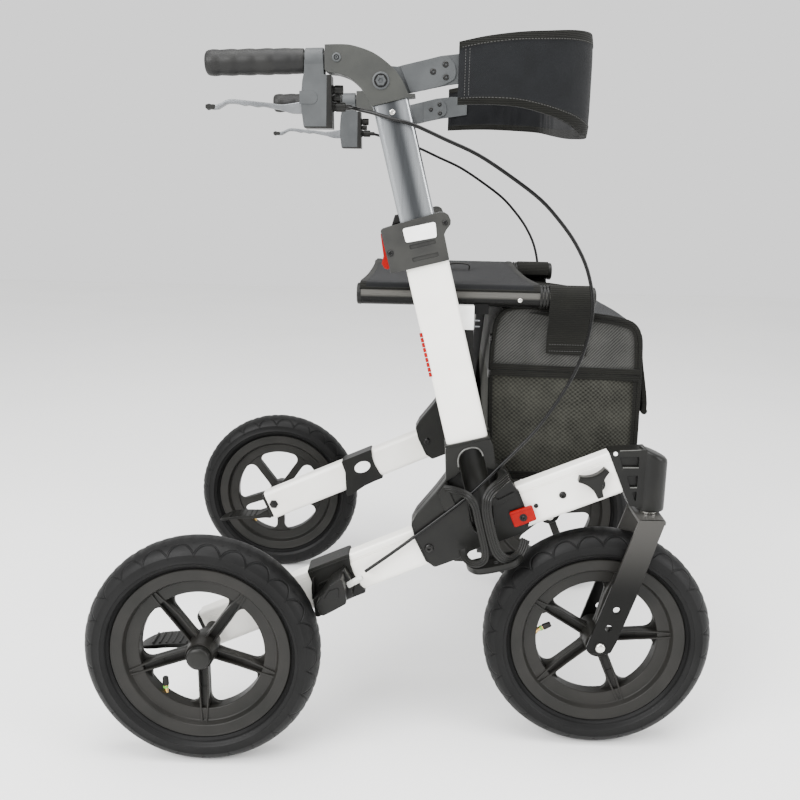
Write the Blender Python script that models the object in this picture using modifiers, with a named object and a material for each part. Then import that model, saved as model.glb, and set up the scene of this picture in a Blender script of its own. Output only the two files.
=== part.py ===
"""Four-wheeled outdoor rollator: side frames, cross brace, seat, bag, backrest and brakes.

Metres, +Z up, +X the way it is pushed, -Y the user's right. Heights and lengths below are measured from
the rear axle line and the floor; the whole is then moved so that its box is centred on the origin.
The left side is the mirror image of the right, which lies on the -Y side.
"""

from math import atan2, cos, pi, radians, sin

import bmesh
import bpy
from mathutils import Matrix, Vector

# Wheels
WHEEL_R = 0.155
WHEEL_STEPS = 32
WHEEL_Z = WHEEL_R * cos(pi / WHEEL_STEPS)
REAR_Y = 0.335
FRAME_Y = 0.262
FRONT_X = 0.526
SWIVEL_X = 0.585

# Side frame
LEG_AT = (0.345, 0.310)
LEG_LEAN = 23.0
LEG_DEEP = 0.060
LEG_THICK = 0.028
LEG_FRONT = 0.2075
REAR_LEG_AT = (0.345, 0.3073)
REAR_LEG_LEAN = 24.1
REAR_LEG_DEEP = 0.0555
REAR_LEG_END = -0.387
UPRIGHT_AT = (0.3325, 0.456)
UPRIGHT_LEAN = 14.4
UPRIGHT_DEEP = 0.055
UPRIGHT_THICK = 0.030
UPRIGHT_TOP = 0.240
UPRIGHT_BASE = -0.060
SLIDER_DEEP = 0.045
SLIDER_THICK = 0.022
SLIDER_BASE = 0.095
SLIDER_TOP = 0.4075
WALL = 0.002
CASTING_THICK = 0.038
GAP = 0.0003

# Handle
BAR_AT = (0.137, 0.8985)
BAR_LEAN = 2.06
BAR_R = 0.011
LEVER_PIN = (0.134, 0.852)
ARM_PIN = (0.2192, 0.8753)
ELBOW_THICK = 0.030

# Seat, brace and bag
RAIL_Y = 0.221
RAIL_Z = 0.613
RAIL_R = 0.013
RAIL_BACK = 0.190
RAIL_FRONT = 0.500
HINGE_Y = 0.225
HINGE_Z = 0.270
BRACE_THICK = 0.012
BRACE_X = (0.354, 0.3667)
BAG_X = (0.3745, 0.572)
BAG_Y = 0.2125
BAG_Z = (0.375, 0.5935)
BAG_WALL = 0.003

CENTRE_X = FRONT_X / 2

FLAT_SIDE = (90, 0, 0)
FLAT_END = (90, 0, 90)
ALONG_X = (0, 90, 0)
ALONG_Y = (90, 0, 0)

for old in list(bpy.data.objects):
    bpy.data.objects.remove(old)

PARTS = bpy.data.collections.new("rollator")
TOOLS = bpy.data.collections.new("cutters")
bpy.context.scene.collection.children.link(PARTS)
bpy.context.scene.collection.children.link(TOOLS)


def material(name, colour, metallic=0.0, roughness=0.5):
    made = bpy.data.materials.new(name)
    made.use_nodes = True
    shader = made.node_tree.nodes["Principled BSDF"]
    shader.inputs["Base Color"].default_value = (*colour, 1.0)
    shader.inputs["Metallic"].default_value = metallic
    shader.inputs["Roughness"].default_value = roughness
    return made


WHITE = material("frame_white", (0.80, 0.79, 0.75), 0.0, 0.35)
SILVER = material("anodised_aluminium", (0.60, 0.61, 0.62), 1.0, 0.32)
GREY = material("elbow_grey", (0.16, 0.16, 0.155), 0.6, 0.45)
LEVER = material("lever_grey", (0.24, 0.24, 0.245), 0.8, 0.4)
PLASTIC = material("black_plastic", (0.035, 0.036, 0.036), 0.0, 0.5)
FORK = material("fork_black", (0.03, 0.029, 0.028), 0.5, 0.4)
RIM = material("rim_black", (0.045, 0.044, 0.042), 0.0, 0.5)
TYRE = material("tyre_rubber", (0.03, 0.032, 0.035), 0.0, 0.7)
GRIP = material("grip_rubber", (0.035, 0.035, 0.035), 0.0, 0.75)
RED = material("red_plastic", (0.75, 0.04, 0.03), 0.0, 0.4)
FABRIC = material("black_fabric", (0.03, 0.031, 0.034), 0.0, 0.9)
CABLE = material("cable_black", (0.02, 0.02, 0.02), 0.0, 0.4)
BRACE = material("brace_black", (0.03, 0.03, 0.03), 0.4, 0.45)


def group(name, parent=None, at=(0, 0, 0), turn=(0, 0, 0), mirrored=False):
    made = bpy.data.objects.new(name, None)
    made.empty_display_size = 0.03
    PARTS.objects.link(made)
    place(made, parent, at, turn)
    if mirrored:
        made.scale = (1, -1, 1)
    return made


def place(obj, parent, at, turn):
    obj.parent = parent
    obj.location = at
    obj.rotation_euler = [radians(a) for a in turn]


def part(name, data, mat, parent, at=(0, 0, 0), turn=(0, 0, 0)):
    made = bpy.data.objects.new(name, data)
    data.name = name
    data.materials.append(mat)
    PARTS.objects.link(made)
    place(made, parent, at, turn)
    return made


def tool(data, parent, at=(0, 0, 0), turn=(0, 0, 0)):
    made = bpy.data.objects.new("tool", data)
    TOOLS.objects.link(made)
    place(made, parent, at, turn)
    made.hide_render = True
    made.display_type = "WIRE"
    return made


def boolean(target, operation, others):
    for other in others:
        step = target.modifiers.new(operation.lower(), "BOOLEAN")
        step.operation = operation
        step.solver = "EXACT"
        step.object = other


def add(target, *others):
    boolean(target, "UNION", others)


def cut(target, *others):
    boolean(target, "DIFFERENCE", others)


def finish(bm, name, smooth=True):
    mesh = bpy.data.meshes.new(name)
    bm.to_mesh(mesh)
    bm.free()
    if smooth:
        mesh.shade_smooth()
        mesh.set_sharp_from_angle(angle=radians(35))
    return mesh


def block(size):
    bm = bmesh.new()
    bmesh.ops.create_cube(bm, size=1.0)
    bmesh.ops.scale(bm, vec=size, verts=bm.verts)
    return finish(bm, "block", False)


def drum(radius, length, steps=24):
    bm = bmesh.new()
    bmesh.ops.create_cone(bm, cap_ends=True, segments=steps, radius1=radius, radius2=radius, depth=length)
    return finish(bm, "drum")


def turned(profile, steps):
    """The profile of (radius, height) points that spin turns round its local Z axis."""
    bm = bmesh.new()
    points = [bm.verts.new((r, 0, z)) for r, z in profile]
    for a, b in zip(points, points[1:]):
        bm.edges.new((a, b))
    if profile[0][0] > 0:
        bm.edges.new((points[-1], points[0]))
    mesh = finish(bm, "profile", False)
    mesh["steps"] = steps
    return mesh


def spin(obj):
    step = obj.modifiers.new("spin", "SCREW")
    step.axis = "Z"
    step.angle = 2 * pi
    step.steps = obj.data["steps"]
    step.render_steps = obj.data["steps"]
    step.use_merge_vertices = True
    step.merge_threshold = 0.00001
    step.use_smooth_shade = False
    return obj


def slab(loops, thick):
    """A flat plate with the outline loops[0] and a hole for each further loop."""
    curve = bpy.data.curves.new("outline", "CURVE")
    curve.dimensions = "2D"
    curve.fill_mode = "BOTH"
    curve.extrude = thick / 2
    for loop in loops:
        line = curve.splines.new("POLY")
        line.points.add(len(loop) - 1)
        for point, (x, y) in zip(line.points, loop):
            point.co = (x, y, 0, 1)
        line.use_cyclic_u = True
    drawn = bpy.data.objects.new("outline", curve)
    bpy.context.scene.collection.objects.link(drawn)
    graph = bpy.context.evaluated_depsgraph_get()
    mesh = bpy.data.meshes.new_from_object(drawn.evaluated_get(graph))
    bpy.data.objects.remove(drawn)
    bm = bmesh.new()
    bm.from_mesh(mesh)
    bmesh.ops.remove_doubles(bm, verts=bm.verts, dist=0.00001)
    return finish(bm, "slab")


def ring_loop(radius, steps=16, at=(0, 0)):
    return [
        (at[0] + radius * cos(2 * pi * k / steps), at[1] + radius * sin(2 * pi * k / steps))
        for k in range(steps)
    ]


def rounded(points, radius, steps=2):
    """The outline with each corner turned into an arc; radius is one number or one for each corner."""
    made = []
    count = len(points)
    for k in range(count):
        size = radius if isinstance(radius, float) else radius[k]
        here = Vector(points[k])
        back = Vector(points[k - 1]) - here
        ahead = Vector(points[(k + 1) % count]) - here
        turn = back.angle(ahead)
        reach = min(size / max(sin(turn / 2), 0.05) * cos(turn / 2), 0.45 * min(back.length, ahead.length))
        if size <= 0 or pi - turn < 0.12:
            made.append(tuple(here))
            continue
        first = here + back.normalized() * reach
        last = here + ahead.normalized() * reach
        for n in range(steps + 1):
            t = n / steps
            made.append(tuple(first * (1 - t) ** 2 + here * 2 * t * (1 - t) + last * t**2))
    return made


def box_loop(wide, high, radius, steps=2):
    x = wide / 2
    y = high / 2
    return rounded([(-x, -y), (x, -y), (x, y), (-x, y)], radius, steps)


def from_leg(xi, zeta):
    """Side-view point of a place along and above the front leg's line."""
    a = radians(LEG_LEAN)
    return (LEG_AT[0] + xi * cos(a) - zeta * sin(a), LEG_AT[1] + xi * sin(a) + zeta * cos(a))


def from_upright(u, w):
    """Side-view point of a place in front of and along the upright."""
    a = radians(UPRIGHT_LEAN)
    return (UPRIGHT_AT[0] + u * cos(a) - w * sin(a), UPRIGHT_AT[1] + u * sin(a) + w * cos(a))


def tube(wide, high, radius, length, wall=WALL):
    loops = [box_loop(wide, high, radius)]
    if wall:
        loops.append(box_loop(wide - 2 * wall, high - 2 * wall, max(radius - wall, 0.001)))
    return slab(loops, length)


def wire(name, points, radius, mat, parent):
    curve = bpy.data.curves.new(name, "CURVE")
    curve.dimensions = "3D"
    curve.bevel_depth = radius
    curve.bevel_resolution = 2
    curve.use_fill_caps = True
    line = curve.splines.new("POLY")
    line.points.add(len(points) - 1)
    for point, place_at in zip(line.points, points):
        point.co = (*place_at, 1)
    return part(name, curve, mat, parent)


# Wheels

TYRE_SECTION = [
    (0.1120, 0.0150),
    (0.1195, 0.0163),
    (0.1300, 0.0278),
    (0.1480, 0.0235),
    (0.1550, 0.0065),
    (0.1550, -0.0065),
    (0.1480, -0.0235),
    (0.1300, -0.0278),
    (0.1195, -0.0163),
    (0.1120, -0.0150),
    (0.1120, -0.0100),
    (0.1330, -0.0240),
    (0.1500, 0.0000),
    (0.1330, 0.0240),
    (0.1120, 0.0100),
]
RIM_SECTION = [
    (0.1175, 0.0200),
    (0.1175, 0.0168),
    (0.1070, 0.0155),
    (0.1070, -0.0155),
    (0.1175, -0.0168),
    (0.1175, -0.0200),
    (0.1017, -0.0190),
    (0.0985, -0.0110),
    (0.0823, -0.0095),
    (0.0823, 0.0095),
    (0.0985, 0.0110),
    (0.1017, 0.0190),
]


def spokes(phase):
    """Five channel bars, open towards the outer side, as one mesh."""
    section = [(-0.007, -0.0072), (0.007, -0.0072), (0.007, 0.0072), (0.004, 0.0072)]
    section += [(0.003, 0.0005), (-0.003, 0.0005), (-0.004, 0.0072), (-0.007, 0.0072)]
    bar = slab([section], 0.0735)
    bm = bmesh.new()
    for k in range(5):
        start = len(bm.verts)
        bm.from_mesh(bar)
        bm.verts.ensure_lookup_table()
        turn = Matrix.Rotation(radians(phase + 72 * k), 4, "Z")
        lay = turn @ Matrix.Translation((0.01525 + 0.03675, 0, 0)) @ Matrix(
            ((0, 0, 1, 0), (1, 0, 0, 0), (0, 1, 0, 0), (0, 0, 0, 1))
        )
        bmesh.ops.transform(bm, matrix=lay, verts=bm.verts[start:])
    return finish(bm, "spokes", False)


def wheel(end, side, axle, phase, hub_out, hub_in, bore):
    """Tyre and rim on the empty axle, whose local Z points outwards."""
    turn = (0, 0, 180 / WHEEL_STEPS)
    spin(part(f"tyre_{end}_{side}", turned(TYRE_SECTION, WHEEL_STEPS), TYRE, axle, turn=turn))
    rim = spin(part(f"rim_{end}_{side}", turned(RIM_SECTION, WHEEL_STEPS), RIM, axle, turn=turn))
    middle = (hub_out - hub_in) / 2
    add(rim, tool(spokes(phase), axle), tool(drum(0.0184, hub_out + hub_in, 16), axle, (0, 0, middle)))
    cut(rim, tool(drum(bore, 0.09, 12), axle))


def rear_wheel(side, frame):
    axle = group(f"rear_wheel_{side}", frame, (0, -REAR_Y, WHEEL_Z), ALONG_Y)
    wheel("rear", side, axle, -17, 0.0252, 0.022, 0.0064)
    shaft = [
        (0, 0.0350),
        (0.0120, 0.0350),
        (0.0150, 0.0325),
        (0.0155, 0.0256),
        (0.0060, 0.0256),
        (0.0060, -0.0224),
        (0.0100, -0.0224),
        (0.0100, -0.0582),
        (0.0060, -0.0582),
        (0.0060, -0.0862),
        (0, -0.0862),
    ]
    spin(part(f"rear_axle_{side}", turned(shaft, 16), PLASTIC, frame, (0, -REAR_Y, WHEEL_Z), ALONG_Y))


def fork(side, frame):
    """Swivelling fork: two blades, crown, steering pin and front axle in one piece, with its wheel."""
    swivel = group(f"swivel_{side}", frame, (SWIVEL_X, -FRAME_Y, WHEEL_Z))
    outline = [
        (0.5655, 0.3405),
        (0.6000, 0.3405),
        (0.5915, 0.3060),
        (0.5715, 0.2346),
        (0.5471, 0.1611),
        (0.5406, 0.1466),
        (0.5333, 0.1440),
        (0.5144, 0.1450),
        (0.5074, 0.1516),
        (0.5404, 0.2555),
        (0.5612, 0.3205),
    ]
    outline = [(x - SWIVEL_X, z - WHEEL_Z) for x, z in outline]
    spare = [(0.5445, 0.2085), (0.5356, 0.1824)]
    holes = [ring_loop(0.0045, 8, (x - SWIVEL_X, z - WHEEL_Z)) for x, z in spare]
    blade = part(f"fork_{side}", slab([outline, *holes], 0.005), FORK, swivel, (0, -0.0355, 0), FLAT_SIDE)
    other = tool(slab([outline, *holes], 0.005), swivel, (0, 0.0355, 0), FLAT_SIDE)
    crown_at = ((0.5655 + 0.6000) / 2 - SWIVEL_X, 0, 0.3375 - WHEEL_Z)
    crown = tool(block((0.0345, 0.0755, 0.006)), swivel, crown_at)
    washer = tool(drum(0.0105, 0.0045, 12), swivel, (0, 0, 0.3415 - WHEEL_Z))
    pin = tool(drum(0.006, 0.0600, 10), swivel, (0, 0, 0.3680 - WHEEL_Z))
    axle_x = FRONT_X - SWIVEL_X
    axle_pin = tool(drum(0.005, 0.0740, 10), swivel, (axle_x, 0, 0), ALONG_Y)
    near_head = tool(drum(0.0065, 0.0050, 10), swivel, (axle_x, -0.0398, 0), ALONG_Y)
    far_head = tool(drum(0.0065, 0.0050, 10), swivel, (axle_x, 0.0398, 0), ALONG_Y)
    add(blade, other, crown, washer, pin, axle_pin, near_head, far_head)
    hub = group(f"front_wheel_{side}", swivel, (axle_x, 0, 0), ALONG_Y)
    wheel("front", side, hub, 5, 0.0290, 0.0290, 0.0056)


def fork_head(side, frame):
    """Steering barrel with its dome cap, the web to the leg and the plug inside the leg."""
    at = (SWIVEL_X, -FRAME_Y, 0)
    profile = [
        (0, 0.4260),
        (0.0080, 0.4245),
        (0.0150, 0.4185),
        (0.0195, 0.4070),
        (0.0195, 0.3440),
        (0.0064, 0.3440),
        (0.0064, 0.4000),
        (0, 0.4000),
    ]
    head = spin(part(f"fork_head_{side}", turned(profile, 16), PLASTIC, frame, at))
    start = from_leg(LEG_FRONT + GAP, 0.0300)
    low = from_leg(LEG_FRONT + GAP, -0.0300)
    web = [start, (0.5690, 0.4165), (0.5740, 0.3445), (0.5560, 0.3445), low]
    add(head, tool(slab([web], 0.024), frame, (0, -FRAME_Y, 0), FLAT_SIDE))
    plug = tool(tube(0.023, 0.055, 0.006, 0.040, 0), leg_of(frame), (LEG_FRONT - 0.0190, 0, 0), FLAT_END)
    add(head, plug)


def leg_of(frame):
    return next(child for child in frame.children if child.name.startswith("leg_line"))


def rear_leg_of(frame):
    return next(child for child in frame.children if child.name.startswith("rear_leg_line"))


def upright_of(frame):
    return next(child for child in frame.children if child.name.startswith("upright_line"))


def legs(side, frame):
    front = LEG_FRONT - 0.0305
    data = tube(LEG_THICK, LEG_DEEP, 0.009, front)
    part(f"front_leg_{side}", data, WHITE, leg_of(frame), (LEG_FRONT - front / 2, 0, 0), FLAT_END)
    rear = -0.0305 - REAR_LEG_END
    data = tube(LEG_THICK, REAR_LEG_DEEP, 0.009, rear)
    at = (REAR_LEG_END + rear / 2, 0, 0)
    made = part(f"rear_leg_{side}", data, WHITE, rear_leg_of(frame), at, FLAT_END)
    cut(made, tool(drum(0.0063, 0.04, 12), frame, (0, -FRAME_Y, WHEEL_Z), ALONG_Y))


def lower_joint(side, frame):
    """Casting that holds both legs and the upright, with the bracket and pin of the cross brace."""
    outline = [
        from_upright(-0.0300, -0.0150),
        from_upright(0.0300, -0.0150),
        (0.3745, 0.4372),
        (0.3780, 0.3960),
        (0.3899, 0.3915),
        from_leg(0.0770, 0.0328),
        from_leg(0.0805, 0.0250),
        from_leg(0.0805, -0.0180),
        from_leg(0.0740, -0.0285),
        from_leg(0.0600, -0.0328),
        from_leg(-0.0480, -0.0352),
        from_leg(-0.0620, -0.0352),
        from_leg(-0.0697, -0.0220),
        from_leg(-0.0717, 0.0123),
        from_leg(-0.0690, 0.0328),
        (0.2755, 0.3275),
        (0.3000, 0.3590),
        (0.3130, 0.3775),
    ]
    data = slab([outline], CASTING_THICK)
    made = part(f"lower_joint_{side}", data, PLASTIC, frame, (0, -FRAME_Y, 0), FLAT_SIDE)
    bracket = tool(block((0.017, 0.052, 0.030)), frame, (0.3365, -0.2350, HINGE_Z))
    pin = tool(drum(0.004, 0.0360, 10), frame, (0.3580, -HINGE_Y, HINGE_Z), ALONG_X)
    add(made, bracket, pin)
    hole = tube(LEG_THICK + 2 * GAP, LEG_DEEP + 2 * GAP, 0.009, 0.070, 0)
    cut(made, tool(hole, leg_of(frame), (0.0650, 0, 0), FLAT_END))
    hole = tube(LEG_THICK + 2 * GAP, REAR_LEG_DEEP + 2 * GAP, 0.009, 0.070, 0)
    cut(made, tool(hole, rear_leg_of(frame), (-0.0650, 0, 0), FLAT_END))
    socket = tube(UPRIGHT_DEEP + 2 * GAP, UPRIGHT_THICK + 2 * GAP, 0.008, 0.080, 0)
    cut(made, tool(socket, upright_of(frame), (0, 0, UPRIGHT_BASE - GAP + 0.040)))


def upright(side, frame):
    """Outer tube with the saddle that the seat rail rests on."""
    length = UPRIGHT_TOP - UPRIGHT_BASE
    made = part(
        f"upright_{side}",
        tube(UPRIGHT_DEEP, UPRIGHT_THICK, 0.0085, length),
        WHITE,
        upright_of(frame),
        (0, 0, UPRIGHT_BASE + length / 2),
    )
    cradle = RAIL_R + 0.0026
    saddle = [(-0.2480, 0.5818), (-0.2042, 0.5818), (-0.2042, 0.6034)]
    saddle += [
        (-RAIL_Y + cradle * cos(radians(a)), RAIL_Z + cradle * sin(radians(a))) for a in range(-38, -143, -13)
    ]
    saddle += [(-0.2480, 0.6034)]
    add(made, tool(slab([saddle], 0.0210), frame, (0.2957, 0, 0), FLAT_END))


def collar(side, frame):
    """Clamp on top of the outer tube, with the slot and pin of its release lever."""
    line = upright_of(frame)
    outline = [(-0.0465, 0.2090), (-0.0420, 0.2060), (0.0300, 0.2060), (0.0300, 0.2420), (0.0400, 0.2470)]
    outline += [(0.0410, 0.2560), (0.0350, 0.2620), (-0.0465, 0.2620)]
    made = part(f"collar_{side}", slab([outline], 0.038), PLASTIC, line, turn=FLAT_SIDE)
    cut(made, tool(tube(0.0556, 0.0306, 0.008, 0.060, 0), line, (0, 0, 0.2403 - 0.030)))
    cut(made, tool(tube(0.0458, 0.0228, 0.007, 0.060, 0), line, (0, 0, 0.2500)))
    cut(made, tool(block((0.0180, 0.0250, 0.080)), line, (-0.0425, 0, 0.2340)))
    add(made, tool(drum(0.003, 0.030, 12), line, (-0.0414, 0, 0.2316), ALONG_Y))
    lever = [(-0.0362, 0.2350), (-0.0362, 0.2282), (-0.0400, 0.2245), (-0.0455, 0.2130), (-0.0525, 0.2126)]
    lever += [(-0.0528, 0.2310), (-0.0500, 0.2575), (-0.0470, 0.2575), (-0.0462, 0.2420), (-0.0400, 0.2390)]
    lever = [(u + 0.0414, w - 0.2316) for u, w in lever]
    data = slab([lever, ring_loop(0.0034, 12)], 0.0244)
    part(f"collar_lever_{side}", data, RED, line, (-0.0414, 0, 0.2316), FLAT_SIDE)


# Handle

ELBOW_OUTLINE = [
    (0.1510, 0.9157),
    (0.1777, 0.9162),
    (0.1965, 0.9122),
    (0.2116, 0.9063),
    (0.2266, 0.8963),
    (0.2377, 0.8861),
    (0.2459, 0.8748),
    (0.2525, 0.8612),
    (0.2610, 0.8612),
    (0.2614, 0.8578),
    from_upright(0.0228, 0.4080),
    from_upright(-0.0230, 0.4080),
    (0.2068, 0.8480),
    (0.1992, 0.8606),
    (0.1921, 0.8696),
    (0.1820, 0.8776),
    (0.1680, 0.8825),
    (0.1560, 0.8838),
    (0.1510, 0.8867),
]


def elbow(side, frame, bar):
    """Flat-sided elbow with the bar for the grip and the plug inside the height tube in one piece."""
    data = slab([ELBOW_OUTLINE], ELBOW_THICK)
    made = part(f"elbow_{side}", data, GREY, frame, (0, -FRAME_Y, 0), FLAT_SIDE)
    add(made, tool(drum(BAR_R, 0.155, 16), bar, (-0.0475, 0, 0), ALONG_X))
    plug = tube(SLIDER_DEEP - 0.0052, SLIDER_THICK - 0.0052, 0.004, 0.046, 0)
    add(made, tool(plug, upright_of(frame), (0, 0, 0.3900)))
    reach = 0.080
    sector = [(0.0215 * cos(radians(a)), 0.0215 * sin(radians(a))) for a in range(160, 301, 14)]
    sector += [(0.0120, -0.0186), (0.0600, -0.0120), (reach, 0), (reach, reach), (0, reach)]
    sector += [(-0.0459, 0.0655), (-0.0245, 0.0236), (-0.0276, 0.0117)]
    slot = tool(slab([sector], 0.0066), frame, (ARM_PIN[0], -FRAME_Y, ARM_PIN[1]), FLAT_SIDE)
    cut(made, slot)
    pin = tool(drum(0.005, 0.020, 12), frame, (ARM_PIN[0], -FRAME_Y, ARM_PIN[1]), ALONG_Y)
    bolt = tool(drum(0.0105, 0.0040, 16), frame, (ARM_PIN[0], -FRAME_Y - 0.0160, ARM_PIN[1]), ALONG_Y)
    add(made, pin, bolt)


def grip(side, bar):
    profile = [
        (0, 0.1330),
        (0.0115, 0.1330),
        (0.0148, 0.1305),
        (0.0157, 0.1230),
        (0.0151, 0.1090),
        (0.0157, 0.0967),
        (0.0151, 0.0843),
        (0.0157, 0.0737),
        (0.0151, 0.0630),
        (0.0157, 0.0520),
        (0.0151, 0.0410),
        (0.0153, 0.0280),
        (0.0147, 0.0120),
        (0.0114, 0.0120),
        (0.0114, 0.1256),
        (0, 0.1256),
    ]
    spin(part(f"grip_{side}", turned(profile, 16), GRIP, bar, turn=(0, -90, 0)))


def brake_housing(side, frame, bar):
    """Housing clamped on the bar, hollowed for the lever, with three cable barrels in front."""
    outline = [
        (0.1262, 0.8980),
        (0.1262, 0.8850),
        (0.1231, 0.8735),
        (0.1221, 0.8450),
        (0.1234, 0.8370),
        (0.1254, 0.8210),
        (0.1270, 0.8195),
        (0.1600, 0.8195),
        (0.1585, 0.8808),
        (0.1500, 0.8815),
        (0.1494, 0.8980),
    ]
    made = part(f"brake_housing_{side}", slab([outline], 0.028), LEVER, frame, (0, -FRAME_Y, 0), FLAT_SIDE)
    add(made, tool(drum(0.0150, 0.0222, 20), bar, (0.0010, 0, 0), ALONG_X))
    barrels = [(0.8650, 0.0058, 0.0190), (0.8550, 0.0040, 0.0160), (0.8450, 0.0058, 0.0220)]
    for height, radius, length in barrels:
        add(made, tool(drum(radius, length, 10), frame, (0.1535 + length / 2, -FRAME_Y, height), ALONG_X))
    cut(made, tool(drum(BAR_R + GAP, 0.060, 16), bar, turn=ALONG_X))
    cut(made, tool(block((0.0300, 0.0130, 0.0300)), frame, (0.1300, -FRAME_Y, 0.8485)))
    add(made, tool(drum(0.003, 0.020, 12), frame, (LEVER_PIN[0], -FRAME_Y, LEVER_PIN[1]), ALONG_Y))


def brake_lever(side, frame):
    """Wavy hand lever, round at its pin."""
    boss = [(0.0085 * cos(radians(a)), 0.0085 * sin(radians(a))) for a in range(-50, 131, 20)]
    top = [
        (0.1219, 0.8506),
        (0.1133, 0.8489),
        (0.0976, 0.8466),
        (0.0851, 0.8479),
        (0.0679, 0.8493),
        (0.0507, 0.8507),
        (0.0366, 0.8518),
        (0.0294, 0.8505),
        (0.0231, 0.8472),
        (0.0160, 0.8448),
        (0.0058, 0.8446),
        (0.0046, 0.8428),
    ]
    bottom = [
        (0.0058, 0.8406),
        (0.0175, 0.8394),
        (0.0230, 0.8422),
        (0.0310, 0.8464),
        (0.0428, 0.8462),
        (0.0514, 0.8442),
        (0.0569, 0.8450),
        (0.0662, 0.8430),
        (0.0741, 0.8438),
        (0.0850, 0.8418),
        (0.0976, 0.8398),
        (0.1054, 0.8373),
        (0.1133, 0.8361),
        (0.1240, 0.8364),
    ]
    outline = boss + [(x - LEVER_PIN[0], z - LEVER_PIN[1]) for x, z in top + bottom]
    data = slab([outline, ring_loop(0.0034, 12)], 0.012)
    at = (LEVER_PIN[0], -FRAME_Y, LEVER_PIN[1])
    part(f"brake_lever_{side}", data, LEVER, frame, at, FLAT_SIDE)


def backrest_arm(side, frame):
    """Hinge plate and strap of the backrest, round at the elbow bolt."""
    disc = [(0.0200 * cos(radians(a)), 0.0200 * sin(radians(a))) for a in range(100, 301, 20)]
    front = [
        (0.2555, 0.8632),
        (0.2999, 0.8728),
        (0.3180, 0.8755),
        (0.3450, 0.8800),
        (0.3450, 0.9100),
        (0.3180, 0.9100),
        (0.2909, 0.9067),
        (0.2386, 0.8935),
    ]
    outline = disc + [(x - ARM_PIN[0], z - ARM_PIN[1]) for x, z in front]
    data = slab([outline, ring_loop(0.0054, 12)], 0.004)
    part(f"backrest_arm_{side}", data, LEVER, frame, (ARM_PIN[0], -FRAME_Y, ARM_PIN[1]), FLAT_SIDE)


# Brake parts on the rear leg, pedal, latch and knob

CABLE_ROUTE = [
    (0.1762, -0.2620, 0.8450),
    (0.1850, -0.2650, 0.8440),
    (0.1960, -0.2720, 0.8410),
    (0.2110, -0.2780, 0.8375),
    (0.2330, -0.2830, 0.8310),
    (0.2590, -0.2870, 0.8245),
    (0.2980, -0.2910, 0.8080),
    (0.3384, -0.2940, 0.7905),
    (0.3800, -0.2950, 0.7650),
    (0.4167, -0.2950, 0.7389),
    (0.4420, -0.2950, 0.7130),
    (0.4620, -0.2950, 0.6870),
    (0.4780, -0.2950, 0.6560),
    (0.4870, -0.2950, 0.6187),
    (0.4860, -0.2945, 0.5830),
    (0.4775, -0.2940, 0.5450),
    (0.4591, -0.2930, 0.5032),
    (0.4263, -0.2900, 0.4500),
    (0.3835, -0.2860, 0.4000),
    (0.3600, -0.2845, 0.3740),
    (0.3380, -0.2842, 0.3520),
    (0.3050, -0.2842, 0.3240),
    (0.2695, -0.2842, 0.2945),
    (0.2350, -0.2835, 0.2665),
    (0.2087, -0.2832, 0.2462),
]


def brake_sleeve(side, frame):
    """Sleeve round the rear leg with the cable adjuster."""
    outline = [
        (-0.2230, 0.0300),
        (-0.1600, 0.0300),
        (-0.1650, 0.0150),
        (-0.1662, 0.0000),
        (-0.1640, -0.0200),
        (-0.1600, -0.0300),
        (-0.1780, -0.0300),
        (-0.2000, -0.0312),
        (-0.2168, -0.0350),
        (-0.2345, -0.0385),
        (-0.2400, -0.0366),
        (-0.2340, -0.0180),
        (-0.2240, 0.0080),
    ]
    line = rear_leg_of(frame)
    made = part(f"brake_sleeve_{side}", slab([outline], 0.034), PLASTIC, line, turn=FLAT_SIDE)
    lean = (0, 90 - 31.0, 0)
    add(made, tool(drum(0.0044, 0.0230, 10), frame, (0.1990, -0.2832, 0.2391), lean))
    hole = tube(LEG_THICK + 2 * GAP, REAR_LEG_DEEP + 2 * GAP, 0.009, 0.12, 0)
    cut(made, tool(hole, line, (-0.19, 0, 0), FLAT_END))


def brake_shoe(side, frame):
    """Jaw that slides along the leg onto the tyre."""
    outline = [
        (0.1800, 0.2520),
        (0.1640, 0.2397),
        (0.1500, 0.2180),
        (0.1462, 0.2110),
        (0.1540, 0.1955),
        (0.1681, 0.2035),
        (0.1866, 0.2150),
        (0.1850, 0.2300),
    ]
    part(f"brake_shoe_{side}", slab([outline], 0.0400), PLASTIC, frame, (0, -0.3000, 0), FLAT_SIDE)


def kerb_pedal(side, frame):
    """Foot pedal behind the rear axle, with the plug that holds it in the leg."""
    outline = [
        (-0.0045, 0.1385),
        (-0.0130, 0.1410),
        (-0.0300, 0.1325),
        (-0.0457, 0.1310),
        (-0.0584, 0.1306),
        (-0.0804, 0.1280),
        (-0.1000, 0.1220),
        (-0.1060, 0.1180),
        (-0.1040, 0.1160),
        (-0.0800, 0.1220),
        (-0.0584, 0.1245),
        (-0.0300, 0.1250),
        (-0.0060, 0.1240),
    ]
    made = part(f"kerb_pedal_{side}", slab([outline], 0.0440), PLASTIC, frame, (0, -FRAME_Y, 0), FLAT_SIDE)
    for sign in (1, -1):
        ear = [(-0.1300, 0.0260), (-0.1300, 0.0070), (-0.1060, 0.0070), (-0.0960, 0.0150), (-0.0780, 0.0205)]
        ear += [(-0.0560, 0.0205), (-0.0400, 0.0150), (-0.0300, 0.0105), (0.0100, 0.0105), (0.0100, 0.0260)]
        ear = [(x, sign * y) for x, y in ear]
        cut(made, tool(slab([ear], 0.08), frame, (0, -FRAME_Y, 0.125)))
    cap = tube(0.0240, 0.0480, 0.007, 0.006, 0)
    add(made, tool(cap, rear_leg_of(frame), (REAR_LEG_END - 0.0034, 0, 0), FLAT_END))


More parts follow.
